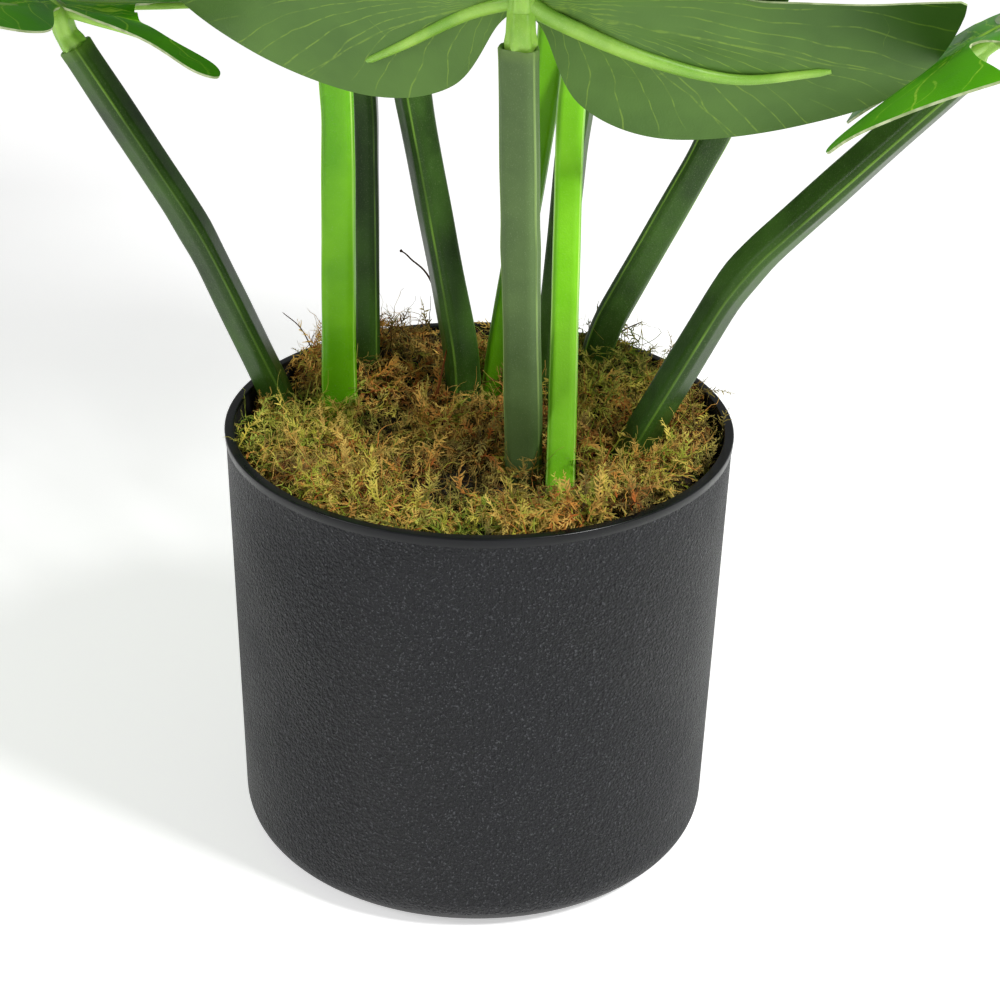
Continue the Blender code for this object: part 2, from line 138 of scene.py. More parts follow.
CAMERA_AT = Vector((0.0, -0.8145, 0.5431))
LOOK_DOWN, LOOK_RIGHT, TILT = math.radians(26.97), math.radians(0.55), math.radians(1.21)
camera = link_object("camera", bpy.data.cameras.new("camera"))
camera.data.lens = 91.4
camera.data.sensor_width = 36
camera.data.clip_start = 0.01
camera.matrix_world = (
    Matrix.Translation(CAMERA_AT)
    @ Matrix.Rotation(-LOOK_RIGHT, 4, "Z")
    @ Matrix.Rotation(math.pi / 2 - LOOK_DOWN, 4, "X")
    @ Matrix.Rotation(TILT, 4, "Z")
)
scene.camera = camera
print("camera", tuple(round(v, 3) for v in CAMERA_AT), "lens", camera.data.lens, "mm")

# %% [markdown]
# ## Small helpers for meshes
# Most pieces here are rows of points joined by four-sided faces, so one helper does the joining. NumPy
# holds the points, because it can move thousands of them with one line.


# %% Mesh helpers
def mesh_object(name, points, faces, finish, values=None, face_finish=None, sharp=35):
    """A smooth-shaded object. values: {attribute name: one number or vector per point}."""
    mesh = bpy.data.meshes.new(name)
    mesh.from_pydata([tuple(p) for p in points], [], faces)
    for key, value in (values or {}).items():
        value = np.asarray(value, np.float32)
        kind, field = ("FLOAT", "value") if value.ndim == 1 else ("FLOAT_VECTOR", "vector")
        mesh.attributes.new(key, kind, "POINT").data.foreach_set(field, value.reshape(-1))
    made = link_object(name, mesh)
    for one in finish if isinstance(finish, (list, tuple)) else [finish]:
        mesh.materials.append(one)
    if face_finish is not None:
        mesh.polygons.foreach_set("material_index", face_finish)
    mesh.shade_smooth()
    mesh.set_sharp_from_angle(angle=math.radians(sharp))
    return made


def ring_faces(rings, around, closed_ends=False):
    """Faces that join rings of points, each ring holding the same number of points."""
    faces = []
    for low in range(rings - 1):
        for k in range(around):
            nxt = (k + 1) % around
            faces.append((low * around + k, low * around + nxt, (low + 1) * around + nxt, (low + 1) * around + k))
    if closed_ends:
        faces.append(tuple(reversed(range(around))))
        faces.append(tuple(range((rings - 1) * around, rings * around)))
    return faces


def catmull_rom(points, per_span):
    """Points on a smooth curve through the given ones."""
    ends = [points[0] * 2 - points[1], *points, points[-1] * 2 - points[-2]]
    smooth = []
    for before, start, end, after in zip(ends, ends[1:], ends[2:], ends[3:]):
        handles = start + (end - before) / 6, end - (after - start) / 6
        smooth += interpolate_bezier(start, *handles, end, per_span + 1)[:-1]
    return [*smooth, points[-1]]


def settle(piece, slot, *nodes):
    """Gives a finished piece its place in the part: it stands for these solids and rides with the pot."""
    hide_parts(*nodes)
    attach(piece, "root")
    return piece


# %% [markdown]
# ## Shader parts that several finishes share
# Moulded plastic is never perfectly smooth or of one colour. Two small groups carry that: one makes a fine
# grain for the surface, the other makes slow patches of lighter and darker colour. Each finish places them
# with its own scale and strength.


# %% Shader helpers and shared groups
def node(tree, kind, **settings):
    """A shader node. Keys of its inputs are given with _ for the spaces in their names."""
    made = tree.nodes.new(kind)
    for key, value in settings.items():
        if hasattr(made, key):
            setattr(made, key, value)
        else:
            made.inputs[key.replace("_", " ")].default_value = value
    return made


def blend_colours(tree, factor, first, second):
    """Mixes two colours, each a fixed colour or another node's output."""
    mix = tree.nodes.new("ShaderNodeMix")
    mix.data_type = "RGBA"
    for socket, value in ((mix.inputs[0], factor), (mix.inputs[6], first), (mix.inputs[7], second)):
        if isinstance(value, bpy.types.NodeSocket):
            tree.links.new(value, socket)
        else:
            socket.default_value = value
    return mix.outputs[2]


def sum_up(tree, operation, first, second=0.0, third=0.0, clamp=False):
    """One step of arithmetic on numbers or on other nodes' outputs."""
    step = tree.nodes.new("ShaderNodeMath")
    step.operation = operation
    step.use_clamp = clamp
    for socket, value in zip(step.inputs, (first, second, third)):
        if isinstance(value, bpy.types.NodeSocket):
            tree.links.new(value, socket)
        else:
            socket.default_value = value
    return step.outputs[0]


def between(tree, value, low, high, to_low=0.0, to_high=1.0):
    """Maps a value smoothly from one range to another."""
    ramp = tree.nodes.new("ShaderNodeMapRange")
    ramp.interpolation_type = "SMOOTHSTEP"
    for socket, number in zip(ramp.inputs[1:5], (low, high, to_low, to_high)):
        if isinstance(number, bpy.types.NodeSocket):
            tree.links.new(number, socket)
        else:
            socket.default_value = number
    tree.links.new(value, ramp.inputs[0])
    return ramp.outputs[0]


def shader_group(name, inputs, outputs):
    """An empty shader node group: (group, its input node's outputs, its output node's inputs)."""
    group = bpy.data.node_groups.new(name, "ShaderNodeTree")
    for label, kind, start in inputs:
        socket = group.interface.new_socket(name=label, in_out="INPUT", socket_type=kind)
        if start is not None:
            socket.default_value = start
    for label, kind in outputs:
        group.interface.new_socket(name=label, in_out="OUTPUT", socket_type=kind)
    return group, group.nodes.new("NodeGroupInput").outputs, group.nodes.new("NodeGroupOutput").inputs


def use_group(tree, group, **values):
    placed = tree.nodes.new("ShaderNodeGroup")
    placed.node_tree = group
    for key, value in values.items():
        socket = placed.inputs[key.replace("_", " ")]
        if isinstance(value, bpy.types.NodeSocket):
            tree.links.new(value, socket)
        else:
            socket.default_value = value
    return placed.outputs


NUMBER, VECTOR = "NodeSocketFloat", "NodeSocketVector"

# The grain of a mould: small rounded cells, broken up by a finer noise.
mould_grain, given, result = shader_group(
    "mould grain", [("Place", VECTOR, None), ("Cells per metre", NUMBER, 900.0), ("Roughen", NUMBER, 0.5)],
    [("Height", NUMBER), ("Speckle", NUMBER)],
)
cells = node(mould_grain, "ShaderNodeTexVoronoi", feature="SMOOTH_F1")
fine = node(mould_grain, "ShaderNodeTexNoise", Detail=3.0)
mould_grain.links.new(given["Place"], cells.inputs["Vector"])
mould_grain.links.new(given["Place"], fine.inputs["Vector"])
mould_grain.links.new(given["Cells per metre"], cells.inputs["Scale"])
mould_grain.links.new(sum_up(mould_grain, "MULTIPLY", given["Cells per metre"], 1.7), fine.inputs["Scale"])
uneven = sum_up(mould_grain, "MULTIPLY", fine.outputs[0], given["Roughen"])
mould_grain.links.new(sum_up(mould_grain, "ADD", cells.outputs["Distance"], uneven), result["Height"])
mould_grain.links.new(between(mould_grain, fine.outputs[0], 0.56, 0.72), result["Speckle"])

# Slow patches of colour, as pigment and light handling leave.
pigment_drift, given, result = shader_group(
    "pigment drift", [("Place", VECTOR, None), ("Patches per metre", NUMBER, 20.0)], [("Mask", NUMBER)]
)
patches = node(pigment_drift, "ShaderNodeTexNoise", Detail=4.0, Roughness=0.55)
pigment_drift.links.new(given["Place"], patches.inputs["Vector"])
pigment_drift.links.new(given["Patches per metre"], patches.inputs["Scale"])
pigment_drift.links.new(between(pigment_drift, patches.outputs[0], 0.32, 0.68), result["Mask"])


def object_place(tree):
    return node(tree, "ShaderNodeTexCoord").outputs["Object"]


def bump(tree, shader, height, distance, strength=1.0):
    """Sends a height, in metres once multiplied by distance, to a shader's normal."""
    lift = node(tree, "ShaderNodeBump", Distance=distance, Strength=strength)
    tree.links.new(height, lift.inputs["Height"])
    tree.links.new(lift.outputs[0], shader.inputs["Normal"])
    return lift


print("shared groups:", mould_grain.name, "and", pigment_drift.name)

# %% [markdown]
# ## The pot
# The pot is one plastic moulding: a straight cylinder with a rounded foot, a fine leathery grain outside,
# and a smooth lip that stands a hair proud of the wall. A turned profile gives its shape, and the grain is
# a bump in the shader, because its cells are under a millimetre wide.

# %% Pot
POT_RADIUS, POT_HEIGHT = 0.090, 0.160
POT_BASE_RADIUS, POT_BASE_FILLET = 0.0857, 0.014
POT_WALL, POT_FLOOR = 0.0026, 0.0035
LIP_WIDTH, LIP_DROP, LIP_STEP, LIP_ROUND = 0.0034, 0.0036, 0.0005, 0.0007
GAP = 0.0003


def inner_radius(height):
    """Radius of the pot's inner wall at a height."""
    share = (height - POT_BASE_FILLET) / (POT_HEIGHT - POT_BASE_FILLET)
    return POT_BASE_RADIUS + (POT_RADIUS - POT_BASE_RADIUS) * share - POT_WALL


def quarter(centre_r, centre_z, radius, start, steps=6):
    """Points on a quarter turn of a rounded corner of the profile."""
    angles = (math.radians(start + 90 * k / steps) for k in range(steps + 1))
    return [(centre_r + radius * math.cos(a), centre_z + radius * math.sin(a)) for a in angles]


wall_top = POT_HEIGHT - LIP_DROP
lip_inner = POT_RADIUS - LIP_WIDTH
pot_profile = [
    (0.0, 0.0),
    *quarter(POT_BASE_RADIUS - POT_BASE_FILLET, POT_BASE_FILLET, POT_BASE_FILLET, -90, 12),
    *((POT_BASE_RADIUS + (POT_RADIUS - LIP_STEP - POT_BASE_RADIUS) * k / 8,
       POT_BASE_FILLET + (wall_top - POT_BASE_FILLET) * k / 8) for k in range(1, 9)),
    (POT_RADIUS - 0.0002, wall_top + 0.0003),
    *quarter(POT_RADIUS - LIP_ROUND, POT_HEIGHT - LIP_ROUND, LIP_ROUND, 0),
    *quarter(lip_inner + 0.0004, POT_HEIGHT - 0.0004, 0.0004, 90, 3),
    (lip_inner, POT_HEIGHT - 0.0012),
    (inner_radius(wall_top), POT_HEIGHT - 0.0014),
    (inner_radius(POT_BASE_FILLET), POT_BASE_FILLET),
    (POT_BASE_RADIUS - POT_BASE_FILLET, POT_FLOOR),
    (0.0, POT_FLOOR),
]


def turned(profile, around):
    """Points and faces of a profile turned about Z; its ends lie on the axis."""
    angles = np.linspace(0, 2 * math.pi, around, endpoint=False)
    points = [(0, 0, profile[0][1])]
    for radius, height in profile[1:-1]:
        points += [(radius * math.cos(a), radius * math.sin(a), height) for a in angles]
    points.append((0, 0, profile[-1][1]))
    rings = len(profile) - 2
    faces = [tuple(1 + i for i in face) for face in ring_faces(rings, around)]
    last = len(points) - 1
    for k in range(around):
        nxt = (k + 1) % around
        faces.append((0, 1 + nxt, 1 + k))
        faces.append((last, 1 + (rings - 1) * around + k, 1 + (rings - 1) * around + nxt))
    return points, faces


pot_paint, tree, shader = material("pot_black_grained", 0.5)
shader.inputs["Specular IOR Level"].default_value = 0.3
where = object_place(tree)
grain = use_group(tree, mould_grain, Place=where, Cells_per_metre=780.0, Roughen=1.2)
drift = use_group(tree, pigment_drift, Place=where, Patches_per_metre=14.0)
charcoal = blend_colours(tree, drift["Mask"], paint(17, 18, 22), paint(26, 27, 31))
speckled = blend_colours(tree, sum_up(tree, "MULTIPLY", grain["Speckle"], 0.8), charcoal, paint(92, 94, 98))
tree.links.new(speckled, shader.inputs["Base Color"])
tree.links.new(between(tree, drift["Mask"], 0.0, 1.0, 0.44, 0.56), shader.inputs["Roughness"])
bump(tree, shader, grain["Height"], 0.0016, 1.0)

lip_paint, tree, shader = material("pot_black_smooth", 0.34)
shader.inputs["Specular IOR Level"].default_value = 0.22
where = object_place(tree)
drift = use_group(tree, pigment_drift, Place=where, Patches_per_metre=60.0)
tree.links.new(blend_colours(tree, drift["Mask"], paint(12, 13, 15), paint(20, 21, 24)), shader.inputs["Base Color"])
tree.links.new(between(tree, drift["Mask"], 0.0, 1.0, 0.26, 0.36), shader.inputs["Roughness"])

inside_paint, tree, shader = material("pot_black_inside", 0.6)
drift = use_group(tree, pigment_drift, Place=object_place(tree), Patches_per_metre=40.0)
tree.links.new(blend_colours(tree, drift["Mask"], paint(20, 20, 21), paint(34, 34, 35)), shader.inputs["Base Color"])

points, faces = turned(pot_profile, 192)


def pot_finish(face):
    radius = np.mean([math.hypot(points[i][0], points[i][1]) for i in face])
    height = np.mean([points[i][2] for i in face])
    if height > wall_top and radius > lip_inner - 0.0002:
        return 1
    return 0 if height < POT_FLOOR * 0.9 or radius > inner_radius(max(height, POT_BASE_FILLET)) + 0.0008 else 2


pot = mesh_object("pot_shell", points, faces, [pot_paint, lip_paint, inside_paint],
                  face_finish=[pot_finish(face) for face in faces], sharp=50)
settle(pot, "pot", "pot")
print("pot:", len(faces), "faces, lip", LIP_WIDTH * 1000, "mm wide")

# %% [markdown]
# ## The planting plug
# Under the moss sits the filler that weighs the pot down and grips the stalks. Almost nobody sees it, so
# the solid keeps its shape and only gets the finish of raw cast filler: grey, dusty and pitted.

# %% Planting plug
filler_paint, tree, shader = material("cast_filler", 0.95)
where = object_place(tree)
grain = use_group(tree, mould_grain, Place=where, Cells_per_metre=260.0, Roughen=1.0)
drift = use_group(tree, pigment_drift, Place=where, Patches_per_metre=45.0)
tree.links.new(blend_colours(tree, drift["Mask"], paint(96, 92, 86), paint(132, 127, 118)), shader.inputs["Base Color"])
bump(tree, shader, grain["Height"], 0.0006)
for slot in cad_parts["planting_plug"].material_slots:
    slot.material = filler_paint

# %% [markdown]
# ## The leaves' places
# Each leaf is described by the points that its stalk passes, the width of the stalk at both ends, and the
# way its blade leaves the stalk: heading (0 along +X, 90 along +Y), pitch and roll in degrees. Arch says how
# far the midrib bends down to the tip, and cup how far the two halves rise. All of it repeats the solid model's
# values, so that every fine piece lies where its solid lies.

# %% Ten leaves
LEAVES = (
    dict(foot=(-0.060, 0.034), way=((-0.0705, 0.026, 0.150), (-0.100, 0.021, 0.222), (-0.139, 0.022, 0.287)),
         width=(0.0125, 0.0120), heading=119, pitch=3.5, roll=14.5, length=0.162, arch=30, cup=0.28),
    dict(foot=(-0.044, 0.010), way=((-0.051, 0.022, 0.155), (-0.050, 0.020, 0.275), (-0.078, -0.012, 0.500)),
         width=(0.0140, 0.0085), heading=222, pitch=16, roll=4, length=0.215, arch=52, cup=0.14),
    dict(foot=(-0.040, 0.048), way=((-0.041, 0.044, 0.152), (-0.042, 0.060, 0.262), (-0.060, 0.083, 0.328)),
         width=(0.0100, 0.0095), heading=127, pitch=40, roll=0, length=0.190, arch=42, cup=0.10),
    dict(foot=(-0.010, 0.018), way=((-0.006, 0.029, 0.166), (-0.026, 0.042, 0.267), (-0.070, 0.080, 0.570)),
         width=(0.0135, 0.0115), heading=135, pitch=30, roll=0, length=0.225, arch=55, cup=0.14),
    dict(foot=(0.014, -0.020), way=((0.016, -0.025, 0.155), (0.013, -0.034, 0.240), (0.011, -0.041, 0.309)),
         width=(0.0130, 0.0135), heading=272.5, pitch=60, roll=-11, length=0.221, arch=40, cup=0.37),
    dict(foot=(0.004, 0.040), way=((0.006, 0.045, 0.158), (0.022, 0.058, 0.262), (0.038, 0.060, 0.620)),
         width=(0.0115, 0.0080), heading=75, pitch=50, roll=6, length=0.190, arch=40, cup=0.16),
    dict(foot=(0.027, -0.044), way=((0.028, -0.038, 0.152), (0.029, 0.014, 0.272), (0.046, 0.016, 0.530)),
         width=(0.0105, 0.0080), heading=292, pitch=20, roll=-4, length=0.210, arch=50, cup=0.14),
    dict(foot=(0.026, 0.020), way=((0.025, 0.030, 0.166), (0.032, 0.042, 0.258), (0.080, 0.110, 0.470)),
         width=(0.0120, 0.0105), heading=60, pitch=22, roll=0, length=0.215, arch=50, cup=0.12),
    dict(foot=(0.034, 0.042), way=((0.042, 0.046, 0.172), (0.082, 0.048, 0.252), (0.128, 0.070, 0.375)),
         width=(0.0125, 0.0110), heading=22, pitch=22, roll=0, length=0.200, arch=48, cup=0.12),
    dict(foot=(0.038, -0.014), way=((0.051, -0.015, 0.152), (0.087, -0.0155, 0.224), (0.151, -0.029, 0.297)),
         width=(0.0130, 0.0125), heading=358, pitch=35, roll=-16, length=0.205, arch=30, cup=0.15),
)
YOUNG = {2, 6, 7}  # leaves whose stalks are still bright green
STALK_FOOT_HEIGHT = 0.070
KNEE_REACH = 0.016
SOCKET_DEPTH = 0.008
NECK_REACH = 0.0155


def stalk_path(leaf, spacing=0.004):
    """Straight lengths from the foot to the open end, with a short bend at each knee."""
    corners = [Vector((*leaf["foot"], STALK_FOOT_HEIGHT)), *map(Vector, leaf["way"])]
    path = [corners[0]]

    def straight_to(end):
        steps = max(1, round((end - path[-1]).length / spacing))
        start = path[-1]
        path.extend(start.lerp(end, k / steps) for k in range(1, steps + 1))

    for before, knee, after in zip(corners, corners[1:], corners[2:]):
        start = knee + (before - knee).normalized() * KNEE_REACH
        end = knee + (after - knee).normalized() * KNEE_REACH
        straight_to(start)
        path += [start * (1 - t) ** 2 + knee * 2 * t * (1 - t) + end * t**2 for t in np.linspace(0, 1, 9)[1:]]
    straight_to(corners[-1])
    return path


print("leaves:", len(LEAVES), "of which young:", sorted(YOUNG))

# %% [markdown]
# ## The stalks
# A stalk is moulded over wire. It is not round: three soft ridges run along it, with flatter faces between.
# The light line along each ridge, where the mould halves met, is partly lighter pigment and partly a painted
# highlight, and the faces are painted a little lighter or darker as painted light and shade. At the top it ends
# in a thin open sleeve that takes the leaf's neck. A sweep of that section along its path makes the shape. The
# finish reads numbers stored on the points: how far from the nearest ridge, on which side, how near the mouth.

# %% Stalk finish
RIDGES = 3
FLAT_FACE = 0.74  # how near the middle of a flat face comes to the stalk's axis, as a share of its radius
SECTION_FILL = 1.07  # the section is drawn this much larger, because its faces are flatter than a circle


def stalk_finish(name, shade, face, ridge, gloss):
    """A stalk's plastic: shade and face are the two ends of its colour drift, ridge the colour of the ridge lines,
    partly a painted highlight.
    """
    made, tree, shader = material(name, gloss)
    shader.inputs["Specular IOR Level"].default_value = 0.26
    where = node(tree, "ShaderNodeAttribute", attribute_name="wrap")
    split = node(tree, "ShaderNodeSeparateXYZ")
    tree.links.new(where.outputs["Vector"], split.inputs[0])
    from_ridge, side, mouth = split.outputs
    place = object_place(tree)
    drift = use_group(tree, pigment_drift, Place=place, Patches_per_metre=30.0)
    grain = use_group(tree, mould_grain, Place=place, Cells_per_metre=1400.0, Roughen=0.7)
    body = blend_colours(tree, drift["Mask"], shade, face)
    # Painted light and shade: each face between two ridges is painted a little lighter or darker.
    body = blend_colours(tree, sum_up(tree, "MULTIPLY", side, 0.45), body, face)
    # The light line on each ridge, partly a painted highlight, fades in and out along the stalk.
    line = between(tree, from_ridge, 0.030, 0.085, 1.0, 0.0)
    fade = node(tree, "ShaderNodeTexNoise", Scale=26.0, Detail=2.0)
    tree.links.new(place, fade.inputs["Vector"])
    line = sum_up(tree, "MULTIPLY", line, between(tree, fade.outputs[0], 0.35, 0.6, 0.25, 0.85))
    body = blend_colours(tree, line, body, ridge)
    dots = sum_up(tree, "MULTIPLY", grain["Speckle"], 0.10)
    body = blend_colours(tree, dots, body, paint(190, 205, 160))
    # The open sleeve is a little paler at its mouth.
    body = blend_colours(tree, sum_up(tree, "MULTIPLY", mouth, 0.35), body, ridge)
    tree.links.new(body, shader.inputs["Base Color"])
    tree.links.new(between(tree, drift["Mask"], 0.0, 1.0, gloss - 0.05, gloss + 0.08), shader.inputs["Roughness"])
    bump(tree, shader, grain["Height"], 0.00010, 0.5)
    return made


stalk_dark = stalk_finish("stalk_dark_green", paint(32, 56, 14), paint(62, 98, 28), paint(122, 164, 58), 0.34)
stalk_grey = stalk_finish("stalk_grey_green", paint(72, 96, 50), paint(92, 118, 66), paint(136, 164, 92), 0.40)
stalk_lime = stalk_finish("stalk_lime", paint(112, 190, 22), paint(138, 212, 44), paint(196, 236, 126), 0.32)
stalk_bright = stalk_finish("stalk_bright_green", paint(92, 166, 8), paint(122, 196, 22), paint(180, 228, 106), 0.32)

# %% [markdown]
# ## Sweeping the stalks
# The section of a stalk is a ring of points: dense at the three ridges, sparse on the flat faces. It is carried
# along the path, one ring every 4 mm, and the rings are joined to a skin. Swelling the radius a little along
# the way keeps a stalk from looking like a pipe. At the open end four more rings turn the skin inwards.

# %% Stalks
# Where each ridge's points lie, from one ridge to the next: close together on the ridge itself.
ACROSS_FACE = (
    0.0, 0.012, 0.030, 0.065, 0.11, 0.17, 0.25, 0.34, 0.43, 0.52, 0.62, 0.72, 0.81, 0.88, 0.935, 0.970, 0.988,
)
AROUND = RIDGES * len(ACROSS_FACE)
STALK_FINISHES = {2: stalk_bright, 6: stalk_bright, 7: stalk_lime, 5: stalk_grey}
TWIST = {1: 50, 2: 88, 3: 58, 4: 12, 5: 67, 6: 88, 7: 92, 8: 40, 9: 98, 10: 24}  # degrees: where the first ridge starts


def swept(path, radii, ring_shape, side=Vector((1, 0, 0))):
    """Rings of points along a path. ring_shape(k) gives an array of (angle, share of the radius)."""
    rings = []
    for i, (centre, radius) in enumerate(zip(path, radii)):
        along = (path[min(i + 1, len(path) - 1)] - path[max(i - 1, 0)]).normalized()
        side = (side - along * side.dot(along)).normalized()
        up = along.cross(side)
        rings.append([
            centre + (side * math.cos(a) + up * math.sin(a)) * (share * radius) for a, share in ring_shape(i)
        ])
    return rings


def stalk(number, leaf):
    path = stalk_path(leaf)
    last = len(path) - 1
    low, high = leaf["width"]
    rough = random.Random(40 + number)
    phases = [rough.uniform(0, 6.28) for _ in range(3)]
    twist = math.radians(TWIST[number])
    gone = np.cumsum([0.0] + [(b - a).length for a, b in zip(path, path[1:])])
    length = float(gone[-1])
    radii = []
    for spot, far in zip(path, gone):
        swell = 1 + 0.016 * math.sin(far * 60 + phases[0]) + 0.010 * math.sin(far * 150 + phases[1])
        # A knee is a little thicker, where the wire inside was bent.
        swell += 0.05 * math.exp(-(((spot - Vector(leaf["way"][1])).length / 0.007) ** 2))
        radii.append((low + (high - low) * far / length) / 2 * SECTION_FILL * swell)
    radii[-1] *= 1.02

    def section(i):
        turn = twist + 0.12 * math.sin(i * 0.05 + phases[2])
        found = []
        for ridge in range(RIDGES):
            for share in ACROSS_FACE:
                face = abs(share - 0.5) * 2 * math.pi / RIDGES
                flat = min(0.955, FLAT_FACE / math.cos(face))
                crest = 0.045 * math.exp(-((min(share, 1 - share) / 0.028) ** 2))
                found.append(((ridge + share) * 2 * math.pi / RIDGES + turn, flat + crest))
        return found

    rings = swept(path, radii, section)
    # The sleeve: a rounded lip, then the wall's inner side down to the socket's floor.
    down = (path[-2] - path[-1]).normalized()
    rim = rings[-1]
    centre = path[-1]
    for share, depth in ((0.95, -0.0004), (0.84, -0.0002), (0.76, 0.0008), (0.70, SOCKET_DEPTH)):
        rings.append([centre + (point - centre) * share + down * depth for point in rim])
    points = [point for ring in rings for point in ring]
    faces = ring_faces(len(rings), AROUND, closed_ends=True)
    wrap = []
    for i in range(len(rings)):
        along = gone[min(i, last)]
        mouth = max(0.0, 1 - (length - along) / 0.004) if i <= last else 1.0 if i <= last + 2 else 0.0
        for ridge in range(RIDGES):
            wrap += [(min(share, 1 - share) * 2, abs(share - ridge / RIDGES), mouth) for share in ACROSS_FACE]
    finish = STALK_FINISHES.get(number, stalk_dark)
    made = mesh_object(f"stalk_{number:02d}_moulding", points, faces, finish, {"wrap": wrap}, sharp=60)
    return settle(made, "stalk_bright" if number in YOUNG else "stalk_dark", f"stalk_{number:02d}")


for number, leaf in enumerate(LEAVES, 1):
    stalk(number, leaf)
print("stalks:", len(LEAVES), "with", RIDGES, "ridges each")

# %% [markdown]
# ## The blade's outline
# A monstera blade is a heart with deep splits between its side veins. Half the outline is drawn here from
# the tip round the margin to the notch at the stalk, in blade lengths; each split is a teardrop along a line
# that leaves the midrib and bends towards the tip. Small seeded changes make every blade's splits different.
# Cutting each corner once rounds the fingers, as a cutting die would.

# %% Outline of a blade
MARGIN = (
    (1.000, 0.000), (0.830, 0.190), (0.600, 0.400), (0.330, 0.560), (0.060, 0.620),
    (-0.130, 0.560), (-0.235, 0.410), (-0.265, 0.230), (-0.200, 0.095), (-0.060, 0.032), (-0.022, 0.000),
)
SPLITS = ((0.135, 0.58, 0.40), (0.240, 0.42, 0.36), (0.345, 0.26, 0.34), (0.450, 0.10, 0.36), (0.560, -0.05, 0.42))
SPLIT_WIDTH = (0.020, 0.050, 0.030)
SPLIT_BEND = 0.16
MARGIN_STEPS = 150
# Leaf 1 lost most of its right basal lobe: past this share of the margin only a narrow finger is left.
NARROW_LEAF, NARROW_FROM = 1, 0.53
NARROW_FINGER = (
    (0.115, 0.610), (0.050, 0.530), (0.030, 0.360), (0.015, 0.200), (-0.060, 0.150), (-0.180, 0.168),
    (-0.310, 0.220), (-0.365, 0.208), (-0.330, 0.165), (-0.200, 0.118), (-0.060, 0.032), (-0.022, 0.000),
)
HOLE_POINTS, HOLE_TURN = 24, 68  # degrees from the midrib
# Small holes near the midrib: along it, across it, half their length and half their width.
HOLES = ((0.400, 0.110, 0.045, 0.016), (0.215, 0.125, 0.050, 0.018))
margin_line = catmull_rom([Vector(p) for p in MARGIN], 16)


def split_line(root, meet, share, bend=SPLIT_BEND):
    """A point on the line of a split or side vein: it leaves the midrib and bends towards the tip."""
    knee = Vector((root + bend * meet.y * 0.6, meet.y * 0.55))
    start = Vector((root, 0.0))
    return start * (1 - share) ** 2 + knee * 2 * share * (1 - share) + meet * share**2


def along_margin(share):
    """The point at a share of the way along the margin."""
    steps = [(b - a).length for a, b in zip(margin_line, margin_line[1:])]
    left = share * sum(steps)
    for (start, end), step in zip(zip(margin_line, margin_line[1:]), steps):
        if left <= step:
            return start.lerp(end, left / step)
        left -= step
    return margin_line[-1].copy()


def half_outline(leaf_random, narrow=False):
    """Half a blade's outline from the tip to the notch, with its splits as teardrops."""
    at = [k / MARGIN_STEPS for k in range(MARGIN_STEPS + 1)]
    outline = []
    done = -1.0
    for meets, root, opens in SPLITS[:-1] if narrow else SPLITS:
        meets += leaf_random.uniform(-0.012, 0.012)
        opens += leaf_random.uniform(-0.06, 0.08)
        meet = along_margin(meets)
        outline += [along_margin(s) for s in at if done < s < meets - 0.016]
        sides = ([], [])
        for share in (0.99, 0.93, 0.86, 0.78, 0.70, 0.62, 0.54):
            share = opens + (share - 0.5) * (1 - opens) * 2
            if share > 0.99:
                continue
            middle = (share - opens) / (1 - opens)
            width = np.interp(middle, (0, 0.08, 0.5, 1), (0.012, SPLIT_WIDTH[0], SPLIT_WIDTH[1], SPLIT_WIDTH[2]))
            spot = split_line(root, meet, share)
            along = (split_line(root, meet, share + 0.01) - spot).normalized()
            across = Vector((-along.y, along.x)) * (float(width) / 2)
            for side, sign in zip(sides, (-1, 1)):
                side.append(spot + across * sign)
        near_notch, near_tip = sides
        if (near_notch[0] - outline[-1]).length < (near_tip[0] - outline[-1]).length:
            near_notch, near_tip = near_tip, near_notch
        outline += [*near_tip, split_line(root, meet, opens), *reversed(near_notch)]
        done = meets + 0.016
    if narrow:
        outline += [along_margin(s) for s in at if done < s < NARROW_FROM]
        return outline + catmull_rom([Vector(p) for p in NARROW_FINGER], 8)
    return outline + [along_margin(s) for s in at if s > done]


def cut_corners(points, times):
    """Chaikin's rule: each corner of a closed outline is cut at a quarter of its two sides."""
    for _ in range(times):
        points = [p for a, b in zip(points, points[1:] + points[:1]) for p in (a.lerp(b, 0.25), a.lerp(b, 0.75))]
    return points


def hole_outline(along, across, half_length, half_width):
    """A small oval hole, turned the way that the side veins run there."""
    turn = Matrix.Rotation(math.radians(HOLE_TURN), 2)
    angles = np.linspace(0, 2 * math.pi, HOLE_POINTS, endpoint=False)
    corners = (Vector((half_length * math.cos(a), half_width * math.sin(a))) for a in angles)
    return [Vector((along, across)) + turn @ corner for corner in corners]


def mirrored(points):
    return [Vector((p.x, -p.y)) for p in reversed(points)]


def blade_outlines(number):
    """A blade's outer outline and its small holes, in blade lengths."""
    leaf_random = random.Random(100 + number)
    left = half_outline(leaf_random)
    right = half_outline(leaf_random, number == NARROW_LEAF)
    holes = [hole_outline(*hole) for hole in HOLES]
    holes += [mirrored(hole) for hole in holes]
    return cut_corners(left[:-1] + mirrored(right)[:-1], 1), holes


print("half outline:", len(half_outline(random.Random(101))), "points before the corners are cut")

# %% [markdown]
# ## Filling and bending a blade
# The outline is filled with triangles round evenly spaced inner points, and each point is then carried to
# its place on the bent blade: along the arched midrib, out across the cupped halves, with each finger lifted
# or dropped a little. Between the side veins the sheet is pressed into shallow pillows.


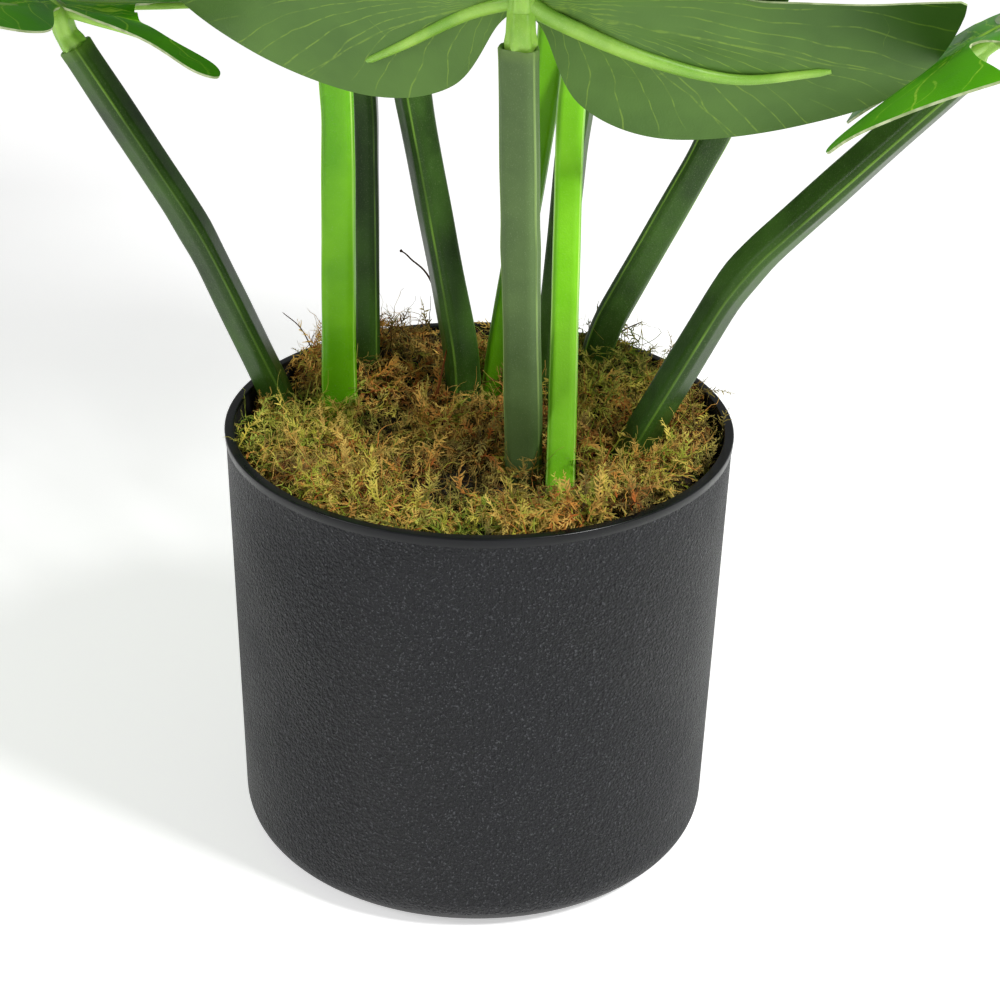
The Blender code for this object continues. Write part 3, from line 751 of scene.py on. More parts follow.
# %% Fill and bend
def inside(points, outline):
    """Which of an array of points lie inside a closed outline."""
    edge = np.array([tuple(p) for p in outline])
    a, b = edge, np.roll(edge, -1, axis=0)
    rise = np.where(a[:, 1] == b[:, 1], 1e-12, b[:, 1] - a[:, 1])
    over = (a[:, 1] > points[:, None, 1]) != (b[:, 1] > points[:, None, 1])
    cross = points[:, None, 0] < a[:, 0] + (b[:, 0] - a[:, 0]) * (points[:, None, 1] - a[:, 1]) / rise
    return (over & cross).sum(axis=1) % 2 == 1


def filled(outer, holes, spacing):
    """(points, triangles) that fill an outline round its holes."""
    loops = [outer, *holes]
    points = [p for loop in loops for p in loop]
    edges, first = [], 0
    for loop in loops:
        edges += [(first + k, first + (k + 1) % len(loop)) for k in range(len(loop))]
        first += len(loop)
    rows, columns = np.meshgrid(np.arange(-0.66, 0.66, spacing * 0.866), np.arange(-0.30, 1.02, spacing))
    columns = columns + spacing / 2 * (np.round(rows / (spacing * 0.866)) % 2)
    grid = np.stack([columns.ravel(), rows.ravel()], axis=1)
    grid = grid[inside(grid, outer)]
    border = np.array([tuple(p) for p in points])
    far = np.array([np.min(np.hypot(*(border - p).T)) > spacing * 0.55 for p in grid])
    points = points + [Vector(p) for p in grid[far]]
    points, _, faces, *_ = delaunay_2d_cdt(points, edges, [], 0, 1e-7)
    flat = np.array([tuple(p) for p in points])
    faces = np.array(faces)
    middles = flat[faces].mean(axis=1)
    kept = inside(middles, outer)
    for hole in holes:
        kept &= ~inside(middles, hole)
    return flat, faces[kept]


def leaf_frame(leaf):
    """(neck point on the blade, along, across, upper normal) of a leaf."""
    heading, pitch, roll = (math.radians(leaf[k]) for k in ("heading", "pitch", "roll"))
    along = Vector((math.cos(pitch) * math.cos(heading), math.cos(pitch) * math.sin(heading), math.sin(pitch)))
    across = Matrix.Rotation(roll, 3, along) @ Vector((-math.sin(heading), math.cos(heading), 0))
    normal = along.cross(across)
    path = stalk_path(leaf)
    rise = (path[-1] - path[-2]).normalized()
    return path[-1] + (rise + normal * 0.35).normalized() * NECK_REACH, along, across, normal


VALLEY, WING_DROOP = 0.11, 0.28


def on_blade(number, leaf, flat, depth=0.0, pillow=None):
    """Where points of the flat outline go on the bent blade. depth: below its middle surface, in metres."""
    length = leaf["length"]
    neck, along, across, normal = (np.array(v) for v in leaf_frame(leaf))
    u, v = flat[:, 0], flat[:, 1]
    bend = math.radians(leaf["arch"]) / length
    turn = bend * u * length
    run, drop = np.sin(turn) / bend, -(1 - np.cos(turn)) / bend
    spread = np.abs(v)
    rise = leaf["cup"] * (np.hypot(spread, VALLEY) - VALLEY) - WING_DROOP * spread**2
    angle = np.arctan2(v, u)
    reach = np.clip((np.hypot(u, v) - 0.24) / 0.5, 0, None)
    lift = (np.sin(angle * 5 + number * 1.7) * 0.035 + np.sin(angle * 3 - number) * 0.02) * reach**1.5
    up = (rise + lift) * length - depth
    if pillow is not None:
        up = up + pillow
    out = along * np.sin(turn)[:, None] + normal * np.cos(turn)[:, None]
    return neck + along * run[:, None] + normal * drop[:, None] + across * (v * length)[:, None] + out * up[:, None]


# %% [markdown]
# ## Where the veins run
# Side veins leave the midrib and curve out to the middle of each finger. To print them, every point of the
# blade gets two numbers: which vein line it lies on, and how far out along it. The lines are laid out as a
# dense fan, the nearest of its points is looked up for each point of the blade, and one step of linear
# correction makes the result smooth.

# %% Vein fan
ROOTS = ((0.0, 0.95), (0.135, 0.58), (0.24, 0.42), (0.345, 0.26), (0.45, 0.10), (0.53, 0.0), (1.0, 0.0))
# Number of each side vein, by its share of the way round the margin: whole numbers are veins.
VEIN_COUNT = (
    (0.0, 0.0), (0.07, 1.0), (0.19, 2.0), (0.29, 3.0), (0.40, 4.0), (0.505, 5.0), (0.64, 6.0), (0.78, 7.0), (1.0, 8.2),
)
# How much a line bends towards the tip. In the basal lobes it bends the other way, beside the lobe's rib.
VEIN_BEND = ((0.0, SPLIT_BEND), (0.50, SPLIT_BEND), (0.62, -0.28), (0.80, -0.46), (1.0, -0.10))
FAN, OUT = 320, 90
fan_share = np.linspace(0.01, 0.965, FAN)
fan_out = np.linspace(0.02, 1.06, OUT)
fan_points = np.empty((FAN, OUT, 2))
for row, share in enumerate(fan_share):
    meet = along_margin(float(share))
    root, bend = (float(np.interp(share, *zip(*table))) for table in (ROOTS, VEIN_BEND))
    for column, t in enumerate(fan_out):
        fan_points[row, column] = split_line(root, meet, float(t), bend)
fan_count = np.interp(fan_share, *zip(*VEIN_COUNT))
step_share, step_out = np.gradient(fan_points, axis=0), np.gradient(fan_points, axis=1)
# How far apart two neighbouring side veins lie at each point of the fan, in blade lengths.
fan_gap = np.linalg.norm(step_share, axis=2) / np.gradient(fan_count)[:, None]


def vein_places(flat):
    """(vein number, share of the way out, gap between veins in blade lengths) for points of a blade."""
    seen = np.stack([flat[:, 0], np.abs(flat[:, 1])], axis=1)
    fan = fan_points.reshape(-1, 2)
    found = np.empty((len(seen), 3))
    for start in range(0, len(seen), 400):
        part = seen[start : start + 400]
        near = ((part[:, None] - fan[None]) ** 2).sum(axis=2).argmin(axis=1)
        row, column = np.divmod(near, OUT)
        off = part - fan[near]
        a, b = step_share[row, column], step_out[row, column]
        area = a[:, 0] * b[:, 1] - a[:, 1] * b[:, 0]
        area = np.where(np.abs(area) < 1e-9, 1e-9, area)
        rows = np.clip((off[:, 0] * b[:, 1] - off[:, 1] * b[:, 0]) / area, -1.5, 1.5)
        outs = np.clip((a[:, 0] * off[:, 1] - a[:, 1] * off[:, 0]) / area, -1.5, 1.5)
        found[start : start + 400, 0] = np.interp(row + rows, np.arange(FAN), fan_count)
        found[start : start + 400, 1] = np.interp(column + outs, np.arange(OUT), fan_out)
        found[start : start + 400, 2] = fan_gap[row, column]
    return found


print("vein fan:", FAN, "lines, neighbouring side veins", round(float(np.median(fan_gap)), 3), "blade lengths apart")

# %% [markdown]
# ## The printed leaf
# A blade is a thin sheet with a print on both sides. The upper side is deep green with yellow-green veins
# that break into dots; the underside is a paler, milky green whose veins only just show. The group below
# turns the stored vein numbers into two masks, and both sides use it with their own line widths.

# %% Vein print
vein_print, given, result = shader_group(
    "vein print",
    [("Vein", VECTOR, None), ("Midrib", VECTOR, None), ("Place", VECTOR, None), ("Main width", NUMBER, 0.001),
     ("Side width", NUMBER, 0.0004), ("Break up", NUMBER, 0.5), ("Sides per vein", NUMBER, 3.0)],
    [("Main", NUMBER), ("Side", NUMBER), ("Pillow", NUMBER)],
)
tree = vein_print
place = given["Place"]
bend = node(tree, "ShaderNodeTexNoise", Scale=34.0, Detail=2.0)
tree.links.new(place, bend.inputs["Vector"])
wander = sum_up(tree, "SUBTRACT", bend.outputs[0], 0.5)
split = node(tree, "ShaderNodeSeparateXYZ")
tree.links.new(given["Vein"], split.inputs[0])
vein_number, vein_out, vein_gap = split.outputs
split = node(tree, "ShaderNodeSeparateXYZ")
tree.links.new(given["Midrib"], split.inputs[0])
from_midrib = split.outputs[1]


def near_whole(tree, value, gap):
    """Distance from a value to the nearest whole number, times a gap."""
    part = sum_up(tree, "FRACT", sum_up(tree, "ADD", value, 0.5))
    return sum_up(tree, "MULTIPLY", sum_up(tree, "ABSOLUTE", sum_up(tree, "SUBTRACT", part, 0.5)), gap)


def thin_line(tree, distance, width):
    """1 on a line of this width, falling to 0 beside it."""
    return between(tree, distance, width, sum_up(tree, "MULTIPLY", width, 0.35), 0.0, 1.0)


main_off = near_whole(tree, sum_up(tree, "MULTIPLY_ADD", wander, 0.10, vein_number), vein_gap)
taper = between(tree, vein_out, 0.3, 1.0, 1.0, 0.45)
main_line = thin_line(tree, main_off, sum_up(tree, "MULTIPLY", given["Main width"], taper))
midrib_line = thin_line(tree, from_midrib, sum_up(tree, "MULTIPLY", given["Main width"], 1.5))
# Side veinlets run nearly beside the main veins and drift away from them on their way out.
slant = sum_up(tree, "MULTIPLY_ADD", vein_out, -2.2, sum_up(tree, "MULTIPLY", wander, 1.2))
lanes = sum_up(tree, "MULTIPLY_ADD", vein_number, given["Sides per vein"], slant)
lane_gap = sum_up(tree, "DIVIDE", vein_gap, given["Sides per vein"])
side_line = thin_line(tree, near_whole(tree, lanes, lane_gap), given["Side width"])
back = sum_up(tree, "MULTIPLY_ADD", vein_out, -3.4, sum_up(tree, "MULTIPLY", wander, 1.6))
cross_line = thin_line(tree, near_whole(tree, sum_up(tree, "ADD", vein_number, back), vein_gap), given["Side width"])
gaps = node(tree, "ShaderNodeTexNoise", Scale=240.0, Detail=3.0)
tree.links.new(place, gaps.inputs["Vector"])
stretch = node(tree, "ShaderNodeTexNoise", Scale=46.0, Detail=1.0)
tree.links.new(place, stretch.inputs["Vector"])
whole = sum_up(tree, "SUBTRACT", 1.0, given["Break up"])
dotted = between(tree, gaps.outputs[0], 0.40, 0.55)
dotted = sum_up(tree, "ADD", sum_up(tree, "MULTIPLY", dotted, given["Break up"]), whole)
here = between(tree, stretch.outputs[0], 0.30, 0.46)
cross_here = between(tree, stretch.outputs[0], 0.56, 0.64)
veinlets = sum_up(
    tree, "MAXIMUM", sum_up(tree, "MULTIPLY", side_line, here), sum_up(tree, "MULTIPLY", cross_line, cross_here)
)
tree.links.new(sum_up(tree, "MULTIPLY", veinlets, dotted), result["Side"])
tree.links.new(sum_up(tree, "MULTIPLY", sum_up(tree, "MAXIMUM", main_line, midrib_line), dotted), result["Main"])
tree.links.new(sum_up(tree, "DIVIDE", main_off, vein_gap), result["Pillow"])


def vein_inputs(tree):
    """The stored vein numbers and the place on a blade, as a material reads them."""
    vein = node(tree, "ShaderNodeAttribute", attribute_name="vein").outputs["Vector"]
    midrib = node(tree, "ShaderNodeAttribute", attribute_name="flat").outputs["Vector"]
    return dict(Vein=vein, Midrib=midrib, Place=midrib)


def upper_finish(name, deep, light, vein, gloss, breaks):
    made, tree, shader = material(name, gloss)
    shader.inputs["Specular IOR Level"].default_value = 0.17
    veins = use_group(tree, vein_print, **vein_inputs(tree), Main_width=0.0013, Side_width=0.00055,
                      Break_up=breaks, Sides_per_vein=3.0)
    place = object_place(tree)
    drift = use_group(tree, pigment_drift, Place=place, Patches_per_metre=22.0)
    grain = use_group(tree, mould_grain, Place=place, Cells_per_metre=1300.0, Roughen=0.6)
    glow = between(tree, veins["Pillow"], 0.0, 0.28, 0.55, 0.0)
    body = blend_colours(tree, sum_up(tree, "MULTIPLY", drift["Mask"], 0.6), deep, light)
    body = blend_colours(tree, glow, body, light)
    body = blend_colours(tree, sum_up(tree, "MULTIPLY", veins["Side"], 0.58), body, vein)
    body = blend_colours(tree, sum_up(tree, "MULTIPLY", veins["Main"], 0.9), body, vein)
    tree.links.new(body, shader.inputs["Base Color"])
    tree.links.new(between(tree, drift["Mask"], 0.0, 1.0, gloss - 0.06, gloss + 0.08), shader.inputs["Roughness"])
    bump(tree, shader, grain["Height"], 0.00012, 0.4)
    return made


def under_finish(name, deep, light, vein, gloss):
    made, tree, shader = material(name, gloss)
    shader.inputs["Specular IOR Level"].default_value = 0.3
    veins = use_group(tree, vein_print, **vein_inputs(tree), Main_width=0.0008, Side_width=0.00036,
                      Break_up=0.75, Sides_per_vein=7.0)
    place = object_place(tree)
    drift = use_group(tree, pigment_drift, Place=place, Patches_per_metre=17.0)
    grain = use_group(tree, mould_grain, Place=place, Cells_per_metre=1200.0, Roughen=0.6)
    body = blend_colours(tree, drift["Mask"], deep, light)
    body = blend_colours(tree, sum_up(tree, "MULTIPLY", veins["Side"], 0.55), body, vein)
    body = blend_colours(tree, sum_up(tree, "MULTIPLY", veins["Main"], 0.45), body, vein)
    tree.links.new(body, shader.inputs["Base Color"])
    tree.links.new(between(tree, drift["Mask"], 0.0, 1.0, gloss - 0.05, gloss + 0.07), shader.inputs["Roughness"])
    bump(tree, shader, grain["Height"], 0.00010, 0.4)
    return made


upper_bright = upper_finish("leaf_top_bright", paint(72, 158, 4), paint(104, 192, 12), paint(172, 222, 66), 0.50, 0.5)
upper_mid = upper_finish("leaf_top_green", paint(30, 74, 20), paint(52, 108, 28), paint(138, 176, 62), 0.48, 0.5)
upper_dark = upper_finish("leaf_top_dark", paint(17, 26, 18), paint(30, 44, 24), paint(140, 160, 46), 0.50, 0.75)
under_milky = under_finish("leaf_underside", paint(76, 112, 44), paint(98, 136, 60), paint(142, 176, 64), 0.46)
# Painted light: a paler copy of the underside print, as where light strikes it; leaves 1, 6 and 10 take it.
under_painted_lit = under_finish("leaf_underside_painted_lit", paint(126, 168, 88), paint(160, 196, 120), paint(184, 212, 130), 0.48)

edge_cream, tree, shader = material("leaf_cut_edge", 0.6)
drift = use_group(tree, pigment_drift, Place=object_place(tree), Patches_per_metre=160.0)
pale_core = blend_colours(tree, drift["Mask"], paint(150, 170, 110), paint(206, 216, 170))
tree.links.new(pale_core, shader.inputs["Base Color"])

# %% [markdown]
# ## Building the ten blades
# Each blade is two layers of triangles, the upper and the under side, joined along the cut edge by a narrow
# band. A sheet as thin as this could be one layer with a thickness modifier, but with both layers made one by one
# each side takes its own print and the cut edge its own pale core. Leaves 1, 6 and 10 take the bright top and the
# paler, painted-light copy of the underside; leaves 3, 4 and 8 take the dark top.

# %% Blades
BLADE_THICKNESS = 0.0008
INNER_SPACING = 0.022
PILLOW = 0.0011
TOPS = {1: upper_bright, 2: upper_mid, 3: upper_dark, 4: upper_dark, 5: upper_mid, 6: upper_bright, 7: upper_mid,
        8: upper_dark, 9: upper_mid, 10: upper_bright}
# Painted light: these leaves take the lit, paler copy of the underside.
UNDERS = {1: under_painted_lit, 10: under_painted_lit, 6: under_painted_lit}


def blade(number, leaf):
    flat, faces = filled(*blade_outlines(number), INNER_SPACING)
    veins = vein_places(flat)
    length = leaf["length"]
    swell = np.cos(2 * math.pi * veins[:, 0])
    calm = np.clip(np.abs(flat[:, 1]) / 0.12, 0, 1) * np.clip(1.15 - veins[:, 1], 0, 1)
    pillow = -swell * calm * PILLOW
    layers = [on_blade(number, leaf, flat, side * BLADE_THICKNESS / 2, pillow) for side in (-1, 1)]
    count = len(flat)
    points = np.concatenate(layers)
    ends = np.concatenate([faces[:, [0, 1]], faces[:, [1, 2]], faces[:, [2, 0]]])
    pairs = {tuple(pair) for pair in ends}
    rim = [pair for pair in pairs if (pair[1], pair[0]) not in pairs]
    made_faces = [tuple(face) for face in faces]
    made_faces += [tuple(count + i for i in reversed(face)) for face in made_faces]
    made_faces += [(b, a, count + a, count + b) for a, b in rim]
    slots = [0] * len(faces) + [1] * len(faces) + [2] * len(rim)
    stored = np.stack([veins[:, 0], veins[:, 1], veins[:, 2] * length], axis=1)
    place = np.stack([flat[:, 0] * length, np.abs(flat[:, 1]) * length, np.full(count, number * 0.37)], axis=1)
    finishes = [TOPS[number], UNDERS.get(number, under_milky), edge_cream]
    values = {"vein": np.concatenate([stored, stored]), "flat": np.concatenate([place, place])}
    made = mesh_object(f"leaf_{number:02d}_blade", points, made_faces, finishes, values, slots, sharp=50)
    return settle(made, "blade", f"leaf_{number:02d}"), len(made_faces)


blade_faces = [blade(number, leaf)[1] for number, leaf in enumerate(LEAVES, 1)]
print("blades:", len(blade_faces), "with", sum(blade_faces), "faces")

# %% [markdown]
# ## The rib mouldings
# Under each blade a lighter moulding is glued on: a midrib and side ribs that taper and end blunt, all
# growing from a stout neck with soft flutes. The neck plugs into the stalk's sleeve. Each rib is an oval
# rod laid along its vein on the underside, half sunk into the sheet.

# %% Rib finish
rib_paint, tree, shader = material("rib_light_green", 0.40)
where = object_place(tree)
drift = use_group(tree, pigment_drift, Place=where, Patches_per_metre=55.0)
grain = use_group(tree, mould_grain, Place=where, Cells_per_metre=1500.0, Roughen=0.8)
body = blend_colours(tree, drift["Mask"], paint(130, 182, 60), paint(168, 214, 88))
body = blend_colours(tree, sum_up(tree, "MULTIPLY", grain["Speckle"], 0.25), body, paint(206, 228, 160))
tree.links.new(body, shader.inputs["Base Color"])
shader.inputs["Subsurface Weight"].default_value = 0.08
shader.inputs["Subsurface Radius"].default_value = (0.4, 1.0, 0.2)
shader.inputs["Subsurface Scale"].default_value = 0.003
bump(tree, shader, grain["Height"], 0.00012, 0.5)

# %% [markdown]
# ## Laying the ribs
# A rib's line is drawn on the flat blade, in blade lengths, and goes through the same bend as the blade, so the
# rib follows the sheet wherever it goes. The two basal lobes carry longer ribs that start at the neck. The neck
# is a fluted post that rises out of the sleeve and bends over into the midrib.

# %% Ribs
MIDRIB_END = 0.72
SIDE_RIBS = ((0.50, 0.66, 0.22), (0.34, 0.49, 0.31), (0.18, 0.27, 0.38), (0.055, 0.03, 0.42))
LOBE_RIB = ((0.0, 0.0), (-0.040, 0.060), (-0.110, 0.190), (-0.145, 0.320), (-0.115, 0.450))  # along a basal lobe
FINGER_RIB = ((0.0, 0.0), (-0.060, -0.050), (-0.150, -0.125), (-0.270, -0.180))  # along leaf 1's narrow finger
SHORT_LOBE_RIB = ((0.0, 0.0), (-0.050, -0.075), (-0.145, -0.170), (-0.200, -0.230))  # cut short on leaf 5's left
SHORT_RIBS = {5: SHORT_LOBE_RIB, NARROW_LEAF: FINGER_RIB}
RIB_AROUND, RIB_OVAL, RIB_SUNK = 14, 0.82, 0.45  # points round a rib, its height by its width, how much stands out
# The neck's thickness along its length, as a share of the socket's fit.
NECK_GIRTH = ((0, 1.02), (0.22, 1.10), (0.34, 0.98), (0.55, 0.92), (0.8, 0.74), (1, 0.35))
NECK_AROUND, FLUTES, FLUTE_DEPTH, NECK_FIT = 32, 6, 0.10, 0.66
MIDRIB_WIDTHS, LOBE_WIDTHS, SHORT_WIDTHS, SIDE_RIB_END = (0.0072, 0.0026), (0.0068, 0.0028), (0.0052, 0.0022), 0.0028


def rib_rod(number, leaf, line, start_width, end_width):
    """An oval rod under the blade along a line of flat points: (points, faces)."""
    flat = np.array([tuple(p) for p in line])
    share = np.linspace(0, 1, len(flat))
    half_width = (start_width + (end_width - start_width) * share) / 2
    half_width[-1] *= 0.55
    high = half_width * RIB_OVAL
    length = leaf["length"]
    along = np.gradient(flat, axis=0)
    along /= np.linalg.norm(along, axis=1)[:, None]
    side = np.stack([-along[:, 1], along[:, 0]], axis=1)
    points = []
    for i in range(len(flat)):
        angles = np.linspace(0, 2 * math.pi, RIB_AROUND, endpoint=False)
        spots = flat[i] + side[i] * (np.cos(angles) * half_width[i] / length)[:, None]
        depth = BLADE_THICKNESS / 2 + high[i] * (RIB_SUNK + np.sin(angles))
        points.append(on_blade(number, leaf, spots, np.clip(depth, 0.0001, None)))
    return np.concatenate(points), ring_faces(len(flat), RIB_AROUND, closed_ends=True)


def rib_moulding(number, leaf):
    points, faces = [], []

    def add(more_points, more_faces):
        first = sum(len(p) for p in points)
        points.append(np.asarray([tuple(p) for p in more_points]))
        faces.extend(tuple(first + i for i in face) for face in more_faces)

    midrib = [Vector((u, 0.0)) for u in np.linspace(-0.015, MIDRIB_END, 40)]
    add(*rib_rod(number, leaf, midrib, *MIDRIB_WIDTHS))
    rough = random.Random(60 + number)
    for root, end_along, end_across in SIDE_RIBS:
        for sign in (1, -1):
            reach = rough.uniform(0.86, 1.0)
            tip = Vector((root + (end_along - root) * reach, end_across * reach))
            start = Vector((root, 0))
            knee = (start + tip) / 2 + Vector((-1, 0)) * 0.014 * (1 if root > 0.1 else 1.6)
            line = [start * (1 - t) ** 2 + knee * 2 * t * (1 - t) + tip * t**2 for t in np.linspace(0, 1, 26)]
            line = [Vector((p.x, p.y * sign)) for p in line]
            width = 0.0062 if root < 0.1 else 0.0050 - 0.0022 * root
            add(*rib_rod(number, leaf, line, width, SIDE_RIB_END))
    for sign in (1, -1):
        bones = [(u, v * sign) for u, v in LOBE_RIB]
        widths = LOBE_WIDTHS
        if sign < 0 and number in SHORT_RIBS:
            bones, widths = SHORT_RIBS[number], SHORT_WIDTHS
        add(*rib_rod(number, leaf, catmull_rom([Vector(p) for p in bones], 8), *widths))
    # The neck: a fluted post from the socket up to the blade, bent over into the midrib.
    neck, along, across, normal = leaf_frame(leaf)
    path = stalk_path(leaf)
    end, rise = path[-1], (path[-1] - path[-2]).normalized()
    radius = leaf["width"][1] / 2 * NECK_FIT
    under = normal * (BLADE_THICKNESS / 2 + radius * 0.55)
    way = [end - rise * (SOCKET_DEPTH - 2 * GAP), end + rise * 0.001, end + rise * 0.006,
           neck - under - along * 0.002, neck - under + along * 0.010, neck - under * 0.75 + along * 0.020]
    smooth = catmull_rom(way, 8)
    radii = [radius * np.interp(k / (len(smooth) - 1), *zip(*NECK_GIRTH)) for k in range(len(smooth))]
    turns = [2 * math.pi * k / NECK_AROUND for k in range(NECK_AROUND)]
    flutes = [(turn, 1 + FLUTE_DEPTH * math.cos(FLUTES * turn)) for turn in turns]
    rings = swept(smooth, radii, lambda i: flutes)
    add([p for ring in rings for p in ring], ring_faces(len(rings), NECK_AROUND, closed_ends=True))
    made = mesh_object(f"leaf_{number:02d}_ribs", np.concatenate(points), faces, rib_paint, sharp=60)
    return settle(made, "rib", f"leaf_rib_{number:02d}")


for number, leaf in enumerate(LEAVES, 1):
    rib_moulding(number, leaf)
print("rib mouldings:", len(LEAVES), "each with", 2 * len(SIDE_RIBS), "side ribs")

# %% [markdown]
# ## The moss
# Dried moss is thousands of small feathery sprigs, brown and rust where it is dry and olive to yellow-green
# where it kept its dye. A crumpled bed fills the pot first, its dark brown deepened with painted shade for the gaps,
# and then the sprigs are laid over it: each is a thin curved stem with pairs of leaflets that shorten towards its
# tip. All sprigs are computed together in arrays, because so many separate objects would be slow.

# %% Moss bed
MOSS_EDGE_TOP, PLUG_TOP = 0.1495, 0.122
MOSS_LEVEL, MOSS_TILT = 0.1545, (0.0025, -0.0020)
MOSS_MOUNDS = ((-0.036, 0.054, 0.026, 0.015), (0.048, 0.052, 0.027, 0.012))  # x, y, width, height
STALK_DIP, DIP_WIDTH = 0.0045, 0.011


def moss_height(x, y):
    """Height of the moss surface: nearly level, two mounds at the back, and pressed down round each stalk."""
    height = MOSS_LEVEL + (MOSS_TILT[0] * x + MOSS_TILT[1] * y) / POT_RADIUS
    for at_x, at_y, width, rise in MOSS_MOUNDS:
        height = height + rise * np.exp(-((x - at_x) ** 2 + (y - at_y) ** 2) / width**2)
    for leaf in LEAVES:
        at_x, at_y, _ = leaf["way"][0]
        height = height - STALK_DIP * np.exp(-((x - at_x) ** 2 + (y - at_y) ** 2) / DIP_WIDTH**2)
    return height


def lumps(x, y, seed, size):
    """A smooth random field of about -1 to 1, with lumps of this size in metres."""
    rough = np.random.default_rng(seed)
    total = np.zeros_like(x)
    for _ in range(14):
        angle, phase = rough.uniform(0, 2 * math.pi, 2)
        pitch = rough.uniform(0.6, 1.6) * 2 * math.pi / size
        total += np.sin((x * math.cos(angle) + y * math.sin(angle)) * pitch + phase)
    return total / 4


bed_paint, tree, shader = material("moss_bed_dark", 1.0)
where = object_place(tree)
drift = use_group(tree, pigment_drift, Place=where, Patches_per_metre=160.0)
grain = use_group(tree, mould_grain, Place=where, Cells_per_metre=420.0, Roughen=1.0)
# Dark brown crumb, made darker still as painted shade for the gaps between clumps.
bed_brown_and_shade = blend_colours(tree, drift["Mask"], paint(14, 10, 6), paint(44, 29, 14))
crumbs = sum_up(tree, "MULTIPLY", grain["Speckle"], 0.5)
tree.links.new(blend_colours(tree, crumbs, bed_brown_and_shade, paint(70, 58, 24)), shader.inputs["Base Color"])
bump(tree, shader, grain["Height"], 0.0012)

BED_RINGS, BED_AROUND = 60, 180
BED_UNDER = 0.005  # how far the bed lies below the tops of the sprigs
radii = np.linspace(0, inner_radius(MOSS_EDGE_TOP) - 2 * GAP, BED_RINGS + 1)[1:]
angles = np.linspace(0, 2 * math.pi, BED_AROUND, endpoint=False)
bed_x, bed_y = (radii[:, None] * f(angles)[None] for f in (np.cos, np.sin))
bed_z = moss_height(bed_x, bed_y) - BED_UNDER
bed_z = bed_z + lumps(bed_x, bed_y, 3, 0.022) * 0.0016 + lumps(bed_x, bed_y, 4, 0.007) * 0.0011
edge_share = (radii / radii[-1])[:, None] ** 12
bed_z = bed_z * (1 - edge_share) + np.minimum(bed_z, MOSS_EDGE_TOP) * edge_share
bed_points = [(0, 0, float(moss_height(0.0, 0.0)) - BED_UNDER), *zip(bed_x.ravel(), bed_y.ravel(), bed_z.ravel())]
skirt = [(x, y, PLUG_TOP + GAP) for x, y in zip(bed_x[-1], bed_y[-1])]
bed_faces = [tuple(1 + i for i in face) for face in ring_faces(BED_RINGS + 1, BED_AROUND)]
bed_faces += [(0, 1 + k, 1 + (k + 1) % BED_AROUND) for k in range(BED_AROUND)]
foot = 1 + BED_RINGS * BED_AROUND
bed_faces.append(tuple(foot + k for k in reversed(range(BED_AROUND))))
moss_bed = mesh_object("moss_bed_crumb", bed_points + skirt, bed_faces, bed_paint, sharp=180)
settle(moss_bed, "moss", "moss_bed")

# %% [markdown]
# ## The colour of moss
# All sprigs share one material. Each point stores three numbers: how dry the sprig is, how near its tip the
# point lies, which sets a painted highlight, and how deep in the shade the sprig sits, which sets its painted shade.
# A colour ramp turns dryness into brown, rust, tan, olive and green, tips are lightened as a painted highlight, and
# what sits deep is darkened as painted shade, which gives the gaps their depth.

# %% Moss finish
moss_paint, tree, shader = material("moss_dried", 0.85)
tint = node(tree, "ShaderNodeAttribute", attribute_name="tint").outputs["Vector"]
split = node(tree, "ShaderNodeSeparateXYZ")
tree.links.new(tint, split.inputs[0])
dryness, painted_tip_highlight, painted_shade = split.outputs
ramp = node(tree, "ShaderNodeValToRGB")
shades = (
    (0.00, paint(58, 38, 20)), (0.14, paint(108, 60, 24)), (0.28, paint(182, 94, 36)),
    (0.40, paint(204, 136, 56)), (0.52, paint(206, 168, 82)), (0.64, paint(186, 178, 56)),
    (0.76, paint(138, 158, 34)), (0.88, paint(98, 132, 28)), (1.00, paint(172, 196, 74)),
)
while len(ramp.color_ramp.elements) < len(shades):
    ramp.color_ramp.elements.new(0.5)
for element, (at, colour) in zip(ramp.color_ramp.elements, shades):
    element.position, element.color = at, colour
tree.links.new(dryness, ramp.inputs[0])
drift = use_group(tree, pigment_drift, Place=object_place(tree), Patches_per_metre=420.0)
body = blend_colours(tree, sum_up(tree, "MULTIPLY", drift["Mask"], 0.35), ramp.outputs[0], paint(60, 44, 22))
# Painted shade: sprigs that sit deep are darkened nearly to black.
body = blend_colours(tree, sum_up(tree, "MULTIPLY", painted_shade, 0.95), body, paint(13, 9, 5))
# Painted highlight: points near a sprig's tip are lightened towards pale yellow.
body = blend_colours(tree, sum_up(tree, "MULTIPLY", painted_tip_highlight, 0.40), body, paint(248, 222, 118))
tree.links.new(body, shader.inputs["Base Color"])
shader.inputs["Specular IOR Level"].default_value = 0.25


print("moss colours:", len(shades))

# %% [markdown]
# ## Arrays into meshes
# Blender can fill a mesh from whole arrays at once with foreach_set, which is far quicker than adding faces one
# by one. This helper makes an object from arrays of points and four-sided faces.


# %% Fast meshes
def unit(v):
    return v / np.maximum(np.linalg.norm(v, axis=-1, keepdims=True), 1e-9)


def fast_mesh(name, points, quads, finish, tint):
    """A mesh object straight from arrays of points and four-sided faces."""
    mesh = bpy.data.meshes.new(name)
    mesh.vertices.add(len(points))
    mesh.vertices.foreach_set("co", points.astype(np.float32).ravel())
    mesh.loops.add(quads.size)
    mesh.loops.foreach_set("vertex_index", quads.astype(np.int32).ravel())
    mesh.polygons.add(len(quads))
    mesh.polygons.foreach_set("loop_start", np.arange(0, quads.size, 4, dtype=np.int32))
    mesh.update(calc_edges=True)
    mesh.validate()
    mesh.attributes.new("tint", "FLOAT_VECTOR", "POINT").data.foreach_set("vector", tint.astype(np.float32).ravel())
    mesh.materials.append(finish)
    mesh.shade_smooth()
    return link_object(name, mesh)


